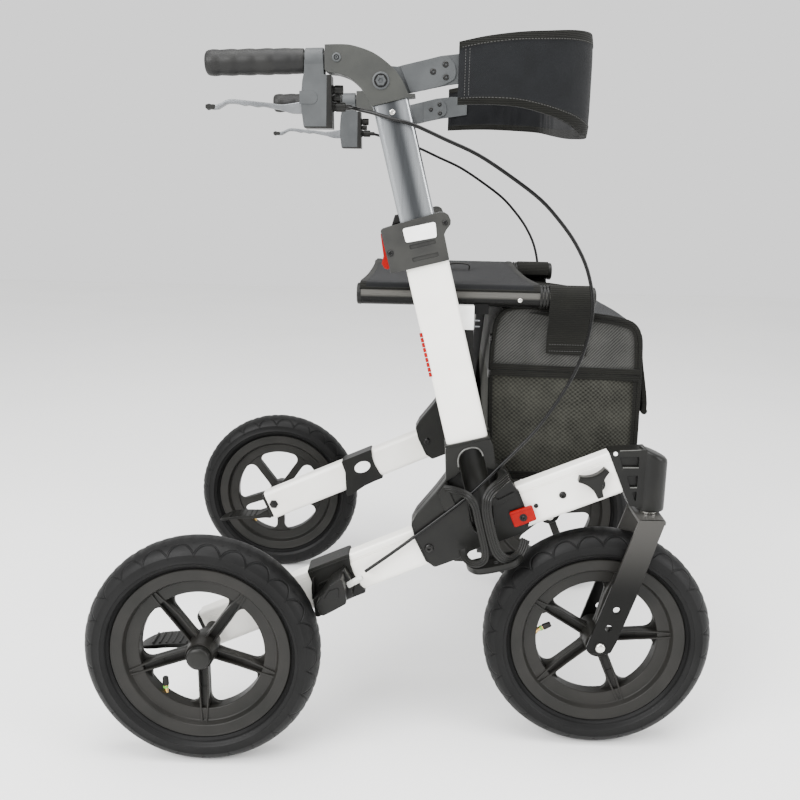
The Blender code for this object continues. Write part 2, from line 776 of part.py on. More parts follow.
def leg_latch(side, frame):
    """Red locking tab on the face of the lower joint."""
    outline = [(0.0580, 0.0030), (0.0580, -0.0190), (0.0900, -0.0190), (0.0900, 0.0030)]
    outline = rounded([(x - 0.0734, z + 0.0096) for x, z in outline], 0.003, 2)
    at = (0.0734, -0.0220, -0.0096)
    part(f"leg_latch_{side}", slab([outline], 0.0050), RED, leg_of(frame), at, FLAT_SIDE)


def clamp_knob(side, frame):
    """Three-lobed hand knob on the front leg."""
    lobes = []
    for k in range(24):
        a = 2 * pi * k / 24
        r = 0.0178 + 0.0047 * cos(3 * (a - radians(38)))
        lobes.append((r * cos(a), r * sin(a)))
    line = leg_of(frame)
    data = slab([lobes], 0.0110)
    made = part(f"clamp_knob_{side}", data, PLASTIC, line, (0.1796, -0.0225, -0.0048), FLAT_SIDE)
    add(made, tool(drum(0.0100, 0.0040, 12), line, (0.1796, -0.0160, -0.0048), ALONG_Y))


def side_frame(side, mirrored):
    frame = group(f"frame_{side}", WHOLE, mirrored=mirrored)
    group(f"leg_line_{side}", frame, (LEG_AT[0], -FRAME_Y, LEG_AT[1]), (0, -LEG_LEAN, 0))
    rear_at = (REAR_LEG_AT[0], -FRAME_Y, REAR_LEG_AT[1])
    group(f"rear_leg_line_{side}", frame, rear_at, (0, -REAR_LEG_LEAN, 0))
    group(f"upright_line_{side}", frame, (UPRIGHT_AT[0], -FRAME_Y, UPRIGHT_AT[1]), (0, -UPRIGHT_LEAN, 0))
    bar = group(f"bar_line_{side}", frame, (BAR_AT[0], -FRAME_Y, BAR_AT[1]), (0, -BAR_LEAN, 0))
    rear_wheel(side, frame)
    fork(side, frame)
    fork_head(side, frame)
    legs(side, frame)
    lower_joint(side, frame)
    upright(side, frame)
    length = SLIDER_TOP - SLIDER_BASE
    slider = tube(SLIDER_DEEP, SLIDER_THICK, 0.007, length)
    part(f"height_tube_{side}", slider, SILVER, upright_of(frame), (0, 0, SLIDER_BASE + length / 2))
    collar(side, frame)
    elbow(side, frame, bar)
    grip(side, bar)
    brake_housing(side, frame, bar)
    brake_lever(side, frame)
    backrest_arm(side, frame)
    wire(f"brake_cable_{side}", CABLE_ROUTE, 0.0023, CABLE, frame)
    brake_sleeve(side, frame)
    brake_shoe(side, frame)
    kerb_pedal(side, frame)
    leg_latch(side, frame)
    clamp_knob(side, frame)
    return frame


def cane_holder(frame):
    """Open cup on the right joint, with a notch in front for laying a cane in."""
    line = upright_of(frame)
    front = -0.0680
    back = -0.0260
    outer = [(-0.0340, back), (-0.0360, -0.0450), (-0.0260, -0.0630), (-0.0100, front), (0.0130, front)]
    outer += [(0.0280, -0.0630), (0.0380, -0.0450), (0.0360, back)]
    inner = [(-0.0310, back - 0.003), (-0.0330, -0.0445), (-0.0240, -0.0602), (-0.0090, front + 0.003)]
    inner += [(0.0120, front + 0.003), (0.0260, -0.0602), (0.0350, -0.0445), (0.0330, back - 0.003)]
    outer = rounded(outer, 0.008, 2)
    data = slab([outer], 0.1300)
    made = part("cane_holder", data, PLASTIC, line, (0, 0, -0.1265))
    cut(made, tool(slab([rounded(inner, 0.007, 2)], 0.1300), line, (0, 0, -0.1230)))
    notch = [(-0.0230, -0.0500), (-0.0060, -0.0900), (0.0020, -0.0960), (0.0100, -0.0860), (0.0250, -0.0500)]
    left = [(-0.0450, -0.1600), (-0.0070, -0.1720), (-0.0040, -0.1640), (-0.0040, -0.1120)]
    left += [(-0.0100, -0.0980), (-0.0450, -0.0850)]
    right = [(0.0100, -0.1640), (0.0150, -0.1720), (0.0450, -0.1650), (0.0450, -0.0900), (0.0160, -0.1000)]
    right += [(0.0100, -0.1120)]
    for window in (notch, left, right):
        cut(made, tool(slab([rounded(window, 0.006, 2)], 0.0400), line, (0, -0.0500, 0), FLAT_SIDE))
    cut(made, tool(drum(0.004, 0.02, 8), line, (0.0020, -0.0450, -0.1890)))
    for u, w in ((-0.0200, -0.0760), (0.0180, -0.1500)):
        add(made, tool(block((0.0120, 0.0070, 0.0120)), line, (u, -0.0230, w)))


# Seat, brace, bag and backrest


def seat_rail(side, parent):
    length = RAIL_FRONT - RAIL_BACK
    data = drum(RAIL_R, length, 20)
    part(f"seat_rail_{side}", data, BRACE, parent, (RAIL_BACK + length / 2, 0, 0), ALONG_X)


def cross_brace(side, mirrored):
    """Brace tube from the seat rail of one side down to the hinge on the other, with its rail fitting."""
    sign = 1 if mirrored else -1
    x = BRACE_X[1] if mirrored else BRACE_X[0]
    rail = Vector((x, sign * RAIL_Y, RAIL_Z))
    foot = Vector((x, -sign * HINGE_Y, HINGE_Z))
    span = rail - foot
    lean = atan2(span.z, span.y)
    line = group(f"brace_line_{side}", WHOLE, foot, (0, 0, 0))
    line.rotation_euler = (lean, 0, 0)
    reach = span.length - RAIL_R - 0.0006
    bar = [(-0.0130, -0.0130), (reach, -0.0130), (reach, 0.0130), (-0.0130, 0.0130)]
    bar = rounded(bar, [0.011, 0.001, 0.001, 0.011])
    data = slab([bar, ring_loop(0.0043, 10)], BRACE_THICK)
    made = part(f"cross_tube_{side}", data, BRACE, line, turn=FLAT_END)
    cradle = tool(block((0.0200, 0.0330, 0.0240)), WHOLE, rail + Vector((0, 0, -0.0110)))
    add(made, cradle)
    cut(made, tool(drum(RAIL_R + GAP, 0.06, 20), WHOLE, rail, ALONG_X))
    cut(made, tool(block((0.06, 0.06, 0.04)), WHOLE, rail + Vector((0, 0, 0.0200))))


def seat():
    """Sling with a sleeve round each rail, a little lower in the middle."""
    sleeve = RAIL_R + GAP
    skin = 0.0150
    top = [(-RAIL_Y, RAIL_Z + skin), (-0.150, 0.6262), (-0.075, 0.6242)]
    top += [(0, 0.6236), (0.075, 0.6242), (0.150, 0.6262)]
    round_right = [
        (RAIL_Y + skin * cos(radians(a)), RAIL_Z + skin * sin(radians(a))) for a in range(90, -151, -40)
    ]
    under = [(0.2020, 0.6140), (0.1960, 0.6200), (0.150, 0.6212), (0.075, 0.6192), (0, 0.6186)]
    under += [(-0.075, 0.6192), (-0.150, 0.6212), (-0.1960, 0.6200), (-0.2020, 0.6140)]
    round_left = [
        (-RAIL_Y + skin * cos(radians(a)), RAIL_Z + skin * sin(radians(a))) for a in range(330, 90, -40)
    ]
    outline = top[1:] + round_right + under + round_left + top[:1]
    holes = [ring_loop(sleeve, 20, (-RAIL_Y, RAIL_Z)), ring_loop(sleeve, 20, (RAIL_Y, RAIL_Z))]
    length = 0.237
    data = slab([outline, *holes], length)
    made = part("seat", data, FABRIC, WHOLE, (0.193 + length / 2, 0, 0), FLAT_END)
    for x, y in ((BRACE_X[0], -RAIL_Y), (BRACE_X[1], RAIL_Y)):
        cut(made, tool(block((0.0220, 0.0500, 0.0240)), WHOLE, (x, y, RAIL_Z - 0.0115)))


def bag():
    """Open-topped bag hung from the front of the rails, with a hinged lid."""
    bm = bmesh.new()
    bmesh.ops.create_cube(bm, size=1.0)
    size = (BAG_X[1] - BAG_X[0], 2 * BAG_Y, BAG_Z[1] - BAG_Z[0])
    middle = ((BAG_X[0] + BAG_X[1]) / 2, 0, (BAG_Z[0] + BAG_Z[1]) / 2)
    bmesh.ops.scale(bm, vec=size, verts=bm.verts)
    bmesh.ops.translate(bm, vec=middle, verts=bm.verts)
    edges = [e for e in bm.edges if min(v.co.z for v in e.verts) < middle[2]]
    bmesh.ops.bevel(bm, geom=edges, offset=0.018, segments=2, profile=0.5, affect="EDGES", material=-1)
    whole = bm.verts[:] + bm.edges[:] + bm.faces[:]
    bmesh.ops.bisect_plane(bm, geom=whole, plane_co=(0.4340, 0, 0), plane_no=(1, 0, 0))
    for vert in bm.verts:
        if vert.co.x > 0.4350 and vert.co.z > middle[2]:
            vert.co.z -= 0.0280
    bm.normal_update()
    lid_faces = [f for f in bm.faces if f.normal.z > 0.8 and f.calc_center_median().x > 0.4340]
    bmesh.ops.delete(bm, geom=lid_faces, context="FACES")
    made = part("bag", finish(bm, "bag"), FABRIC, WHOLE)
    shell = made.modifiers.new("shell", "SOLIDIFY")
    shell.thickness = BAG_WALL
    shell.offset = -1
    shell.use_even_offset = True
    for sign in (1, -1):
        loop = slab([ring_loop(0.0155, 16), ring_loop(RAIL_R + GAP, 20)], 0.054)
        add(made, tool(loop, WHOLE, (0.4695, sign * RAIL_Y, RAIL_Z), FLAT_END))
        add(made, tool(block((0.054, 0.0030, 0.0605)), WHOLE, (0.4695, sign * 0.2134, 0.5703)))
    lid = [
        (0.4360, 0.5968),
        (0.5620, 0.5760),
        (0.5740, 0.5680),
        (0.5795, 0.5500),
        (0.5820, 0.4590),
        (0.5785, 0.4590),
        (0.5760, 0.5490),
        (0.5728, 0.5660),
        (0.5610, 0.5722),
        (0.4360, 0.5932),
    ]
    lid = [(x - 0.4360, z - 0.5947) for x, z in lid]
    part("bag_lid", slab([lid], 0.4080), FABRIC, WHOLE, (0.4360, 0, 0.5960), FLAT_SIDE)


# Path of the backrest band: x, y, height of its lower and of its upper edge
BAND = [
    (0.3125, -0.2645, 0.8500, 0.9228),
    (0.3450, -0.2655, 0.8512, 0.9298),
    (0.3850, -0.2660, 0.8492, 0.9351),
    (0.4200, -0.2640, 0.8415, 0.9374),
    (0.4500, -0.2540, 0.8315, 0.9400),
    (0.4700, -0.2320, 0.8220, 0.9413),
    (0.4790, -0.2000, 0.8180, 0.9415),
    (0.4830, -0.1300, 0.8200, 0.9415),
    (0.4850, 0.0000, 0.8280, 0.9415),
    (0.4830, 0.1300, 0.8390, 0.9415),
    (0.4790, 0.2000, 0.8460, 0.9415),
    (0.4700, 0.2320, 0.8500, 0.9413),
    (0.4500, 0.2540, 0.8530, 0.9400),
    (0.4200, 0.2640, 0.8550, 0.9374),
    (0.3850, 0.2660, 0.8560, 0.9351),
    (0.3450, 0.2655, 0.8550, 0.9298),
    (0.3125, 0.2645, 0.8530, 0.9228),
]


def backrest_pad():
    """Padded band round the back, drawn down in front, with a pocket at each end for the arm straps."""
    rows = 4
    bm = bmesh.new()
    bmesh.ops.create_grid(bm, x_segments=len(BAND) - 1, y_segments=rows, size=1.0)
    for vert in bm.verts:
        column = round((vert.co.x + 1) / 2 * (len(BAND) - 1))
        height = (vert.co.y + 1) / 2
        x, y, low, high = BAND[column]
        vert.co = (x, y, low + (high - low) * height)
    made = part("backrest_pad", finish(bm, "pad"), FABRIC, WHOLE)
    soft = made.modifiers.new("soft", "SUBSURF")
    soft.levels = 1
    soft.render_levels = 1
    soft.boundary_smooth = "PRESERVE_CORNERS"
    padding = made.modifiers.new("padding", "SOLIDIFY")
    padding.thickness = 0.0080
    padding.offset = 0
    padding.use_even_offset = True
    for sign in (1, -1):
        cut(made, tool(block((0.0400, 0.0046, 0.0460)), WHOLE, (0.3265, sign * FRAME_Y, 0.8940)))


WHOLE = group("rollator_frame", at=(-CENTRE_X, 0, 0))
RIGHT = side_frame("right", False)
LEFT = side_frame("left", True)
cane_holder(RIGHT)
cross_brace("right", False)
cross_brace("left", True)
seat_rail("right", group("rail_right", WHOLE, (0, -RAIL_Y, RAIL_Z)))
seat_rail("left", group("rail_left", WHOLE, (0, RAIL_Y, RAIL_Z)))
seat()
bag()
backrest_pad()
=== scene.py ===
"""Looks of a four-wheeled outdoor rollator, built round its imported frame.

Lengths are in metres. A side view is drawn in x, measured from the rear axle, and z, measured from the floor.
y is 0 in the middle and negative on the user's right, and each right-hand piece is mirrored for the left.
"""

from math import atan2, cos, dist, hypot, pi, radians, sin

import bmesh
import bpy
from mathutils import Matrix, Vector


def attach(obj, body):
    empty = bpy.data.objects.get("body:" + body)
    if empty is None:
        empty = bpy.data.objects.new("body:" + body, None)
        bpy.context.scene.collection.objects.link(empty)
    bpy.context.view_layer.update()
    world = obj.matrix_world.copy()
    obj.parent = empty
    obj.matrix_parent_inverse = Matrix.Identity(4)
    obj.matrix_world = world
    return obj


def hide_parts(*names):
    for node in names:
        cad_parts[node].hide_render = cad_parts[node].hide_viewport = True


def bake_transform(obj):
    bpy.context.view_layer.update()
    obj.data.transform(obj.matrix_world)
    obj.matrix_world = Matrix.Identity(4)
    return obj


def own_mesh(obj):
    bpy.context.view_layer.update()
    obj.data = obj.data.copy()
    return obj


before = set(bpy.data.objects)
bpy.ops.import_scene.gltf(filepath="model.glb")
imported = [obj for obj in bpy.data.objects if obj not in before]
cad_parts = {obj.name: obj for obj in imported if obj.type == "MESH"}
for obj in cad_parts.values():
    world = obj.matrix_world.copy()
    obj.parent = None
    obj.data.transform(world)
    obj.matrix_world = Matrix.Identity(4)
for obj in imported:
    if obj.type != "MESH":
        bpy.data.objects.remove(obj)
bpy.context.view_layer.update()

CENTRE_X = 0.263
WHEEL_Z = 0.15425
REAR_Y = 0.335
FRAME_Y = 0.262
FRONT_X = 0.526
SWIVEL_X = 0.585
RAIL_Y = 0.221
RAIL_Z = 0.613
BRACE_X = (0.354, 0.3667)
HINGE_Y = 0.225
HINGE_Z = 0.27
BRACE_THICK = 0.012
RAIL_R = 0.013
LUGS = 26

UPRIGHT_LEAN = 14.4

FLAT = Matrix()
LENGTHWISE = Matrix.Rotation(-pi / 2, 4, "Z")
UPWARDS = Matrix.Rotation(pi / 2, 4, "X")
FORWARDS = Matrix.Rotation(pi / 2, 4, "Y")


def line(x, z, lean, y=-FRAME_Y):
    """Local frame of a slanting member: x along or across it, y as it is, z at right angles."""
    return Matrix.Translation((x, y, z)) @ Matrix.Rotation(-radians(lean), 4, "Y")


LEG = line(0.345, 0.31, 23.0)
REAR_LEG = line(0.345, 0.3073, 24.1)
UPRIGHT = line(0.3325, 0.456, UPRIGHT_LEAN)
BAR = line(0.137, 0.8985, 2.06)
SIDE = line(0, 0, 0)


# Materials


def linear(code):
    """Linear colour of an sRGB hex value."""
    parts = [int(code[k : k + 2], 16) / 255 for k in (0, 2, 4)]
    return (*[c / 12.92 if c <= 0.04045 else ((c + 0.055) / 1.055) ** 2.4 for c in parts], 1.0)


def node(mat, kind, feeds=(), pick=0, **settings):
    """Adds a node, applies its settings, fills or links its inputs and returns the picked output."""
    made = mat.node_tree.nodes.new("ShaderNode" + kind)
    for name, value in settings.items():
        setattr(made, name, value)
    for socket, value in feeds.items() if isinstance(feeds, dict) else enumerate(feeds):
        if isinstance(value, bpy.types.NodeSocket):
            mat.node_tree.links.new(value, made.inputs[socket])
        else:
            made.inputs[socket].default_value = value
    return made.outputs[pick]


def feed(mat, **sockets):
    """Links outputs to the shader, each named after its socket with _ for a space."""
    shader = mat.node_tree.nodes["Principled BSDF"]
    for name, value in sockets.items():
        mat.node_tree.links.new(value, shader.inputs[name.replace("_", " ")])


def finish(name, colour, roughness, metallic=0.0, **more):
    """A material whose even values sit on the shader's own sockets."""
    mat = bpy.data.materials.new(name)
    mat.use_nodes = True
    shader = mat.node_tree.nodes["Principled BSDF"]
    shader.inputs["Base Color"].default_value = linear(colour)
    shader.inputs["Roughness"].default_value = roughness
    shader.inputs["Metallic"].default_value = metallic
    for socket, value in more.items():
        shader.inputs[socket.replace("_", " ")].default_value = value
    return mat


def grained(mat, dark, light, patch, grain, depth, gloss, stretch=(1, 1, 1)):
    """Colour drifts between two tones over patches, and a fine grain moves gloss and height.

    patch, grain and depth are in metres.
    """
    place = node(mat, "TexCoord", pick="Object")
    place = node(mat, "Mapping", {"Vector": place, "Scale": stretch})
    drift = node(mat, "TexNoise", {"Vector": place, "Scale": 1 / patch, "Detail": 3.0})
    drift = node(mat, "MapRange", {"Value": drift, "From Min": 0.35, "From Max": 0.65})
    tone = node(mat, "Mix", {0: drift, 6: linear(dark), 7: linear(light)}, pick=2, data_type="RGBA")
    fine = node(mat, "TexNoise", {"Vector": place, "Scale": 1 / grain, "Detail": 2.0})
    ends = {"From Min": 0.3, "From Max": 0.7, "To Min": gloss[0], "To Max": gloss[1]}
    rough = node(mat, "MapRange", {"Value": fine, **ends})
    bump = node(mat, "Bump", {"Height": fine, "Distance": depth})
    feed(mat, Base_Color=tone, Roughness=rough, Normal=bump)
    return tone, fine


# Powder-coated aluminium tube: a satin off-white skin with a faint orange peel
WHITE = finish("powder_coated_aluminium", "EFEDE6", 0.34, IOR=1.5, Coat_Weight=0.15)
grained(WHITE, "EAE8E0", "F3F1EB", 0.09, 0.0022, 0.00004, (0.3, 0.4))

# Clear anodised aluminium: brushed lengthwise before anodising, so its gloss runs in long streaks
SILVER = finish("anodised_aluminium", "96999B", 0.3, 1.0)
grained(SILVER, "7E8183", "B2B5B7", 0.016, 0.0016, 0.00002, (0.22, 0.36), (1, 1, 0.03))

# The same anodised tube with a painted reflection: one dark lengthwise band between two bright sides, as on
# the height tube
PAINTED_REFLECTION_SILVER = finish("anodised_aluminium_painted_reflection", "96999B", 0.26, 1.0)
tone = grained(PAINTED_REFLECTION_SILVER, "94979A", "9EA1A3", 0.012, 0.0016, 0.00001, (0.26, 0.32), (1, 1, 0.03))[0]
across = node(PAINTED_REFLECTION_SILVER, "TexCoord", pick="Object")
turned_to = {"Vector": across, "Location": (-0.1807, 0, 0), "Rotation": (0, radians(UPRIGHT_LEAN), 0)}
across = node(PAINTED_REFLECTION_SILVER, "Mapping", turned_to)
across = node(PAINTED_REFLECTION_SILVER, "SeparateXYZ", [across], pick=0)
rising = {"Value": across, "From Min": -0.0165, "From Max": -0.001}
falling = {"Value": across, "From Min": 0.003, "From Max": 0.015, "To Min": 1.0, "To Max": 0.0}
# Painted reflection: a dark band down the middle of the tube's face, fading out to either side
painted_reflection_band = node(PAINTED_REFLECTION_SILVER, "MapRange", rising, interpolation_type="SMOOTHSTEP")
bright = node(PAINTED_REFLECTION_SILVER, "MapRange", falling, interpolation_type="SMOOTHSTEP")
painted_reflection_band = node(PAINTED_REFLECTION_SILVER, "Math", [painted_reflection_band, bright], operation="MULTIPLY")
tone = node(PAINTED_REFLECTION_SILVER, "Mix", {0: painted_reflection_band, 6: tone, 7: linear("484A4C")}, pick=2, data_type="RGBA")
feed(PAINTED_REFLECTION_SILVER, Base_Color=tone)

# Die-cast aluminium with a grey powder coat: a dull, faintly sandy grey
CAST = finish("coated_die_casting", "2A2B29", 0.46, Specular_IOR_Level=0.3)
grained(CAST, "262725", "2F302D", 0.04, 0.0015, 0.00008, (0.36, 0.5))

# Satin grey paint on an aluminium housing and lever: flat and even with soft reflections
PAINT = finish("satin_painted_aluminium", "383A3B", 0.48, Specular_IOR_Level=0.25)
grained(PAINT, "343637", "3D3F40", 0.03, 0.0014, 0.00005, (0.42, 0.54))

# Glass-filled polyamide, moulded: a warm near-black with a fine spark texture that scatters highlights
PLASTIC = finish("moulded_polyamide", "111110", 0.4, Specular_IOR_Level=0.18)
grained(PLASTIC, "0E0E0D", "151513", 0.05, 0.0013, 0.00008, (0.32, 0.46))

# The same polyamide with a finer texture, which looks greyer: the clamp on the height tube
COWL = finish("fine_textured_polyamide", "242423", 0.44, Specular_IOR_Level=0.25)
grained(COWL, "20201F", "2A2A28", 0.03, 0.0012, 0.00006, (0.36, 0.5))

# Moulded wheel nylon: browner and flatter than the joints
RIM = finish("moulded_wheel_nylon", "191917", 0.44, Specular_IOR_Level=0.18)
grained(RIM, "151513", "1D1C1A", 0.06, 0.0014, 0.00008, (0.38, 0.52))

# Black anodised plate: the fork's satin metal, which shows broad soft reflections, and a painted highlight
# greys it towards its top
FORK = finish("black_anodised_plate", "070706", 0.32, Specular_IOR_Level=0.12)
tone = grained(FORK, "050504", "090908", 0.05, 0.0012, 0.00003, (0.28, 0.4), (1, 1, 0.2))[0]
# Painted highlight: the colour lightens from 225 mm to 335 mm above the floor
height = node(FORK, "TexCoord", pick="Object")
height = node(FORK, "SeparateXYZ", [height], pick=2)
rising = {"Value": height, "From Min": 0.225, "From Max": 0.335}
height = node(FORK, "MapRange", rising, interpolation_type="SMOOTHSTEP")
tone = node(FORK, "Mix", {0: height, 6: tone, 7: linear("3A3937")}, pick=2, data_type="RGBA")
feed(FORK, Base_Color=tone)

# Black coated steel tube of the cross brace
BRACE = finish("black_coated_steel", "080808", 0.36, Specular_IOR_Level=0.14)
grained(BRACE, "060606", "0B0B0B", 0.05, 0.0014, 0.00004, (0.3, 0.44))

# Black anodised seat rail: a painted highlight lays one soft light band along the middle of its rounded flank
RAIL = finish("black_anodised_extrusion", "0A0A09", 0.3, 0.2, Specular_IOR_Level=0.14)
tone = grained(RAIL, "070707", "0C0C0B", 0.04, 0.0014, 0.00002, (0.24, 0.36), (0.04, 1, 1))[0]
# Painted highlight: lighter within a few millimetres of the rail's middle height
height = node(RAIL, "TexCoord", pick="Object")
height = node(RAIL, "SeparateXYZ", [height], pick=2)
height = node(RAIL, "Math", [height, RAIL_Z + 0.003], operation="SUBTRACT")
height = node(RAIL, "Math", [height], operation="ABSOLUTE")
falling = {"Value": height, "From Min": 0.002, "From Max": 0.0065, "To Min": 1.0, "To Max": 0.0}
band = node(RAIL, "MapRange", falling, interpolation_type="SMOOTHSTEP")
tone = node(RAIL, "Mix", {0: band, 6: tone, 7: linear("4C4B48")}, pick=2, data_type="RGBA")
feed(RAIL, Base_Color=tone)

# Thermoplastic rubber of the grips: matt with a fine pebble
GRIP = finish("pebbled_grip_rubber", "161615", 0.46, Specular_IOR_Level=0.2)
grained(GRIP, "131313", "1A1A19", 0.03, 0.0018, 0.00012, (0.4, 0.56))

# Polypropylene in signal red: smooth and a little glossy
RED = finish("red_polypropylene", "860100", 0.4, Specular_IOR_Level=0.12)
grained(RED, "7E0100", "8E0300", 0.02, 0.0012, 0.00003, (0.28, 0.4))

# Cast alloy of the brake levers, tumbled and lacquered: mid grey metal with soft reflections
ALLOY = finish("lacquered_cast_alloy", "66686A", 0.34, 0.85)
grained(ALLOY, "5E6062", "727476", 0.02, 0.0012, 0.00003, (0.28, 0.42))

# Zinc-plated steel: bright, slightly uneven plating
STEEL = finish("zinc_plated_steel", "D2D0CA", 0.24, 1.0)
grained(STEEL, "BEBCB6", "DEDCD6", 0.008, 0.0009, 0.00003, (0.18, 0.32))

# Blackened steel screws: an oily black oxide
BLACK_STEEL = finish("black_oxide_steel", "0D0D0C", 0.3, 0.5)
grained(BLACK_STEEL, "0A0A09", "121110", 0.006, 0.0009, 0.00002, (0.22, 0.38))

# Turned brass of the valve stems: warm yellow with fine gloss
BRASS = finish("turned_brass", "C9A35A", 0.28, 1.0)
grained(BRASS, "BD9650", "D4B06A", 0.006, 0.0008, 0.00002, (0.22, 0.34))

# Extruded cable jacket: smooth glossy black vinyl
JACKET = finish("vinyl_cable_jacket", "030303", 0.22, Specular_IOR_Level=0.2)
grained(JACKET, "020202", "050505", 0.04, 0.002, 0.00001, (0.18, 0.28))

# Natural acetal of the cable adjuster: pale, milky and a little translucent
ACETAL = finish("natural_acetal", "D6D8D2", 0.35, IOR=1.48, Transmission_Weight=0.25)
grained(ACETAL, "CDD0C9", "DFE0DA", 0.006, 0.001, 0.00002, (0.3, 0.42))

# White polypropylene of the saddle boxes and of the bare plates on the clamps
WHITE_PLASTIC = finish("white_polypropylene", "F2F2F0", 0.42, IOR=1.49)
grained(WHITE_PLASTIC, "EDEDEA", "F6F6F4", 0.02, 0.0012, 0.00003, (0.36, 0.48))


def tyre_rubber():
    """Vulcanised rubber: blue-black and dull, with moulded arcs and pits read from the tread map and painted
    shade in them.
    """
    mat = finish("vulcanised_rubber", "0A0A0A", 0.5, Specular_IOR_Level=0.14)
    tone, fine = grained(mat, "080808", "0D0D0D", 0.05, 0.0016, 0.0001, (0.42, 0.58))
    spread = node(mat, "UVMap", uv_map="tread")
    round_about = node(mat, "SeparateXYZ", [spread], pick=0)
    across = node(mat, "SeparateXYZ", [spread], pick=1)
    step = node(mat, "Math", [round_about], operation="FRACT")
    # The long arc leaves the knot at 18 mm from the tread's middle and falls to the point at 32.5 mm, and the
    # short arc climbs from that point to the next knot, steep at first
    arcs = []
    for slope, offset, power, lean, test, turn_at in (
        (1 / 0.58, 0.0, 3.0, 1.5, "LESS_THAN", 0.59),
        (-1 / 0.42, 2.381, 1.8, 0.9, "GREATER_THAN", 0.57),
    ):
        share = node(mat, "Math", [step, slope, offset], operation="MULTIPLY_ADD")
        fall = node(mat, "Math", [share, power], operation="POWER")
        fall = node(mat, "Math", [fall, 0.0145, 0.018], operation="MULTIPLY_ADD")
        off = node(mat, "Math", [across, fall], operation="SUBTRACT")
        off = node(mat, "Math", [off], operation="ABSOLUTE")
        steep = node(mat, "Math", [share, lean, 1.0], operation="MULTIPLY_ADD")
        off = node(mat, "Math", [off, steep], operation="DIVIDE")
        ends = {"From Min": 0.0005, "From Max": 0.0014, "To Min": 1.0, "To Max": 0.0}
        drawn = node(mat, "MapRange", {"Value": off, **ends})
        within = node(mat, "Math", [step, turn_at], operation=test)
        arcs.append(node(mat, "Math", [drawn, within], operation="MULTIPLY"))
    # A short tail below the point, and a round pit above it
    tail = node(mat, "Math", [step, 0.58, 0.025], operation="COMPARE")
    low = node(mat, "Math", [across, 0.0345, 0.0022], operation="COMPARE")
    tail = node(mat, "Math", [tail, low], operation="MULTIPLY")
    ahead = node(mat, "Math", [step, 0.036, -0.0227], operation="MULTIPLY_ADD")
    high = node(mat, "Math", [across, 0.016], operation="SUBTRACT")
    spot = node(mat, "CombineXYZ", [ahead, high])
    spot = node(mat, "VectorMath", [spot], pick="Value", operation="LENGTH")
    spot = node(mat, "Math", [spot, 0.0016], operation="LESS_THAN")
    # Two grooves run round the middle of the tread
    groove = node(mat, "Math", [across, 0.0065, 0.0008], operation="COMPARE")
    grooves_and_shade = node(mat, "Math", arcs, operation="MAXIMUM")
    for more in (tail, spot, groove):
        grooves_and_shade = node(mat, "Math", [grooves_and_shade, more], operation="MAXIMUM")
    # Painted shade: arcs, tail, pit and grooves are coloured near black as well as sunk by the bump
    tone = node(mat, "Mix", {0: grooves_and_shade, 6: tone, 7: linear("010101")}, pick=2, data_type="RGBA")
    deep = node(mat, "Math", [grooves_and_shade, -1.0], operation="MULTIPLY")
    bump = node(mat, "Bump", {"Height": fine, "Distance": 0.00012})
    bump = node(mat, "Bump", {"Height": deep, "Distance": 0.0012, "Normal": bump})
    feed(mat, Base_Color=tone, Normal=bump)
    return mat


def woven(name, dark, light, pitch, kind, depth, roughness, sheen=0.03):
    """A fabric whose threads cross at pitch, in two thread colours; kind is twill, net or web."""
    mat = finish(name, dark, roughness, Specular_IOR_Level=0.1, Sheen_Weight=sheen, Sheen_Roughness=0.5)
    place = node(mat, "TexCoord", pick="Object")
    x, y, z = [node(mat, "SeparateXYZ", [place], pick=k) for k in range(3)]
    # A panel faces along x, y or z, so x + y runs across it whichever way it faces
    flat = node(mat, "Math", [x, y], operation="ADD")
    first = flat if kind == "net" else node(mat, "Math", [flat, z], operation="SUBTRACT")
    if kind == "web":
        first = z
    first = node(mat, "Math", [first, 2 * pi / pitch], operation="MULTIPLY")
    first = node(mat, "Math", [first], operation="SINE")
    if kind == "net":
        second = node(mat, "Math", [z, 2 * pi / (pitch * 0.9)], operation="MULTIPLY")
        second = node(mat, "Math", [second], operation="SINE")
        first = node(mat, "Math", [first, second], operation="MULTIPLY")
    thread = node(mat, "Math", [first, 0.5, 0.5], operation="MULTIPLY_ADD")
    soft = node(mat, "TexNoise", {"Vector": place, "Scale": 28.0, "Detail": 3.0})
    ends = {"From Min": 0.35, "From Max": 0.65, "To Min": -0.22, "To Max": 0.22}
    soft = node(mat, "MapRange", {"Value": soft, **ends})
    fuzz = node(mat, "TexNoise", {"Vector": place, "Scale": 700.0, "Detail": 2.0})
    mixed = node(mat, "Math", [thread, soft], operation="ADD")
    mixed = node(mat, "Math", [mixed, fuzz], operation="ADD")
    mixed = node(mat, "MapRange", {"Value": mixed, "From Min": 0.2, "From Max": 1.6})
    tone = node(mat, "Mix", {0: mixed, 6: linear(dark), 7: linear(light)}, pick=2, data_type="RGBA")
    bump = node(mat, "Bump", {"Height": fuzz, "Distance": depth * 0.5})
    bump = node(mat, "Bump", {"Height": thread, "Distance": depth, "Normal": bump})
    feed(mat, Base_Color=tone, Normal=bump)
    return mat


RUBBER = tyre_rubber()
# Coated polyester twill of the bag's upper panels: dull and ribbed aslant; drawn at 3.1 mm between ribs,
# coarser than the real 1.5 mm, to show
TWILL = woven("coated_polyester_twill", "1A1A19", "3A3A38", 0.0044, "twill", 0.0003, 0.72)
# Spacer mesh of the bag's lower panels: greenish threads over dark holes; drawn at 3.2 mm between holes,
# coarser than the real 1.5 mm, to show
NET = woven("polyester_spacer_mesh", "050504", "34342F", 0.0064, "net", 0.0006, 0.85)
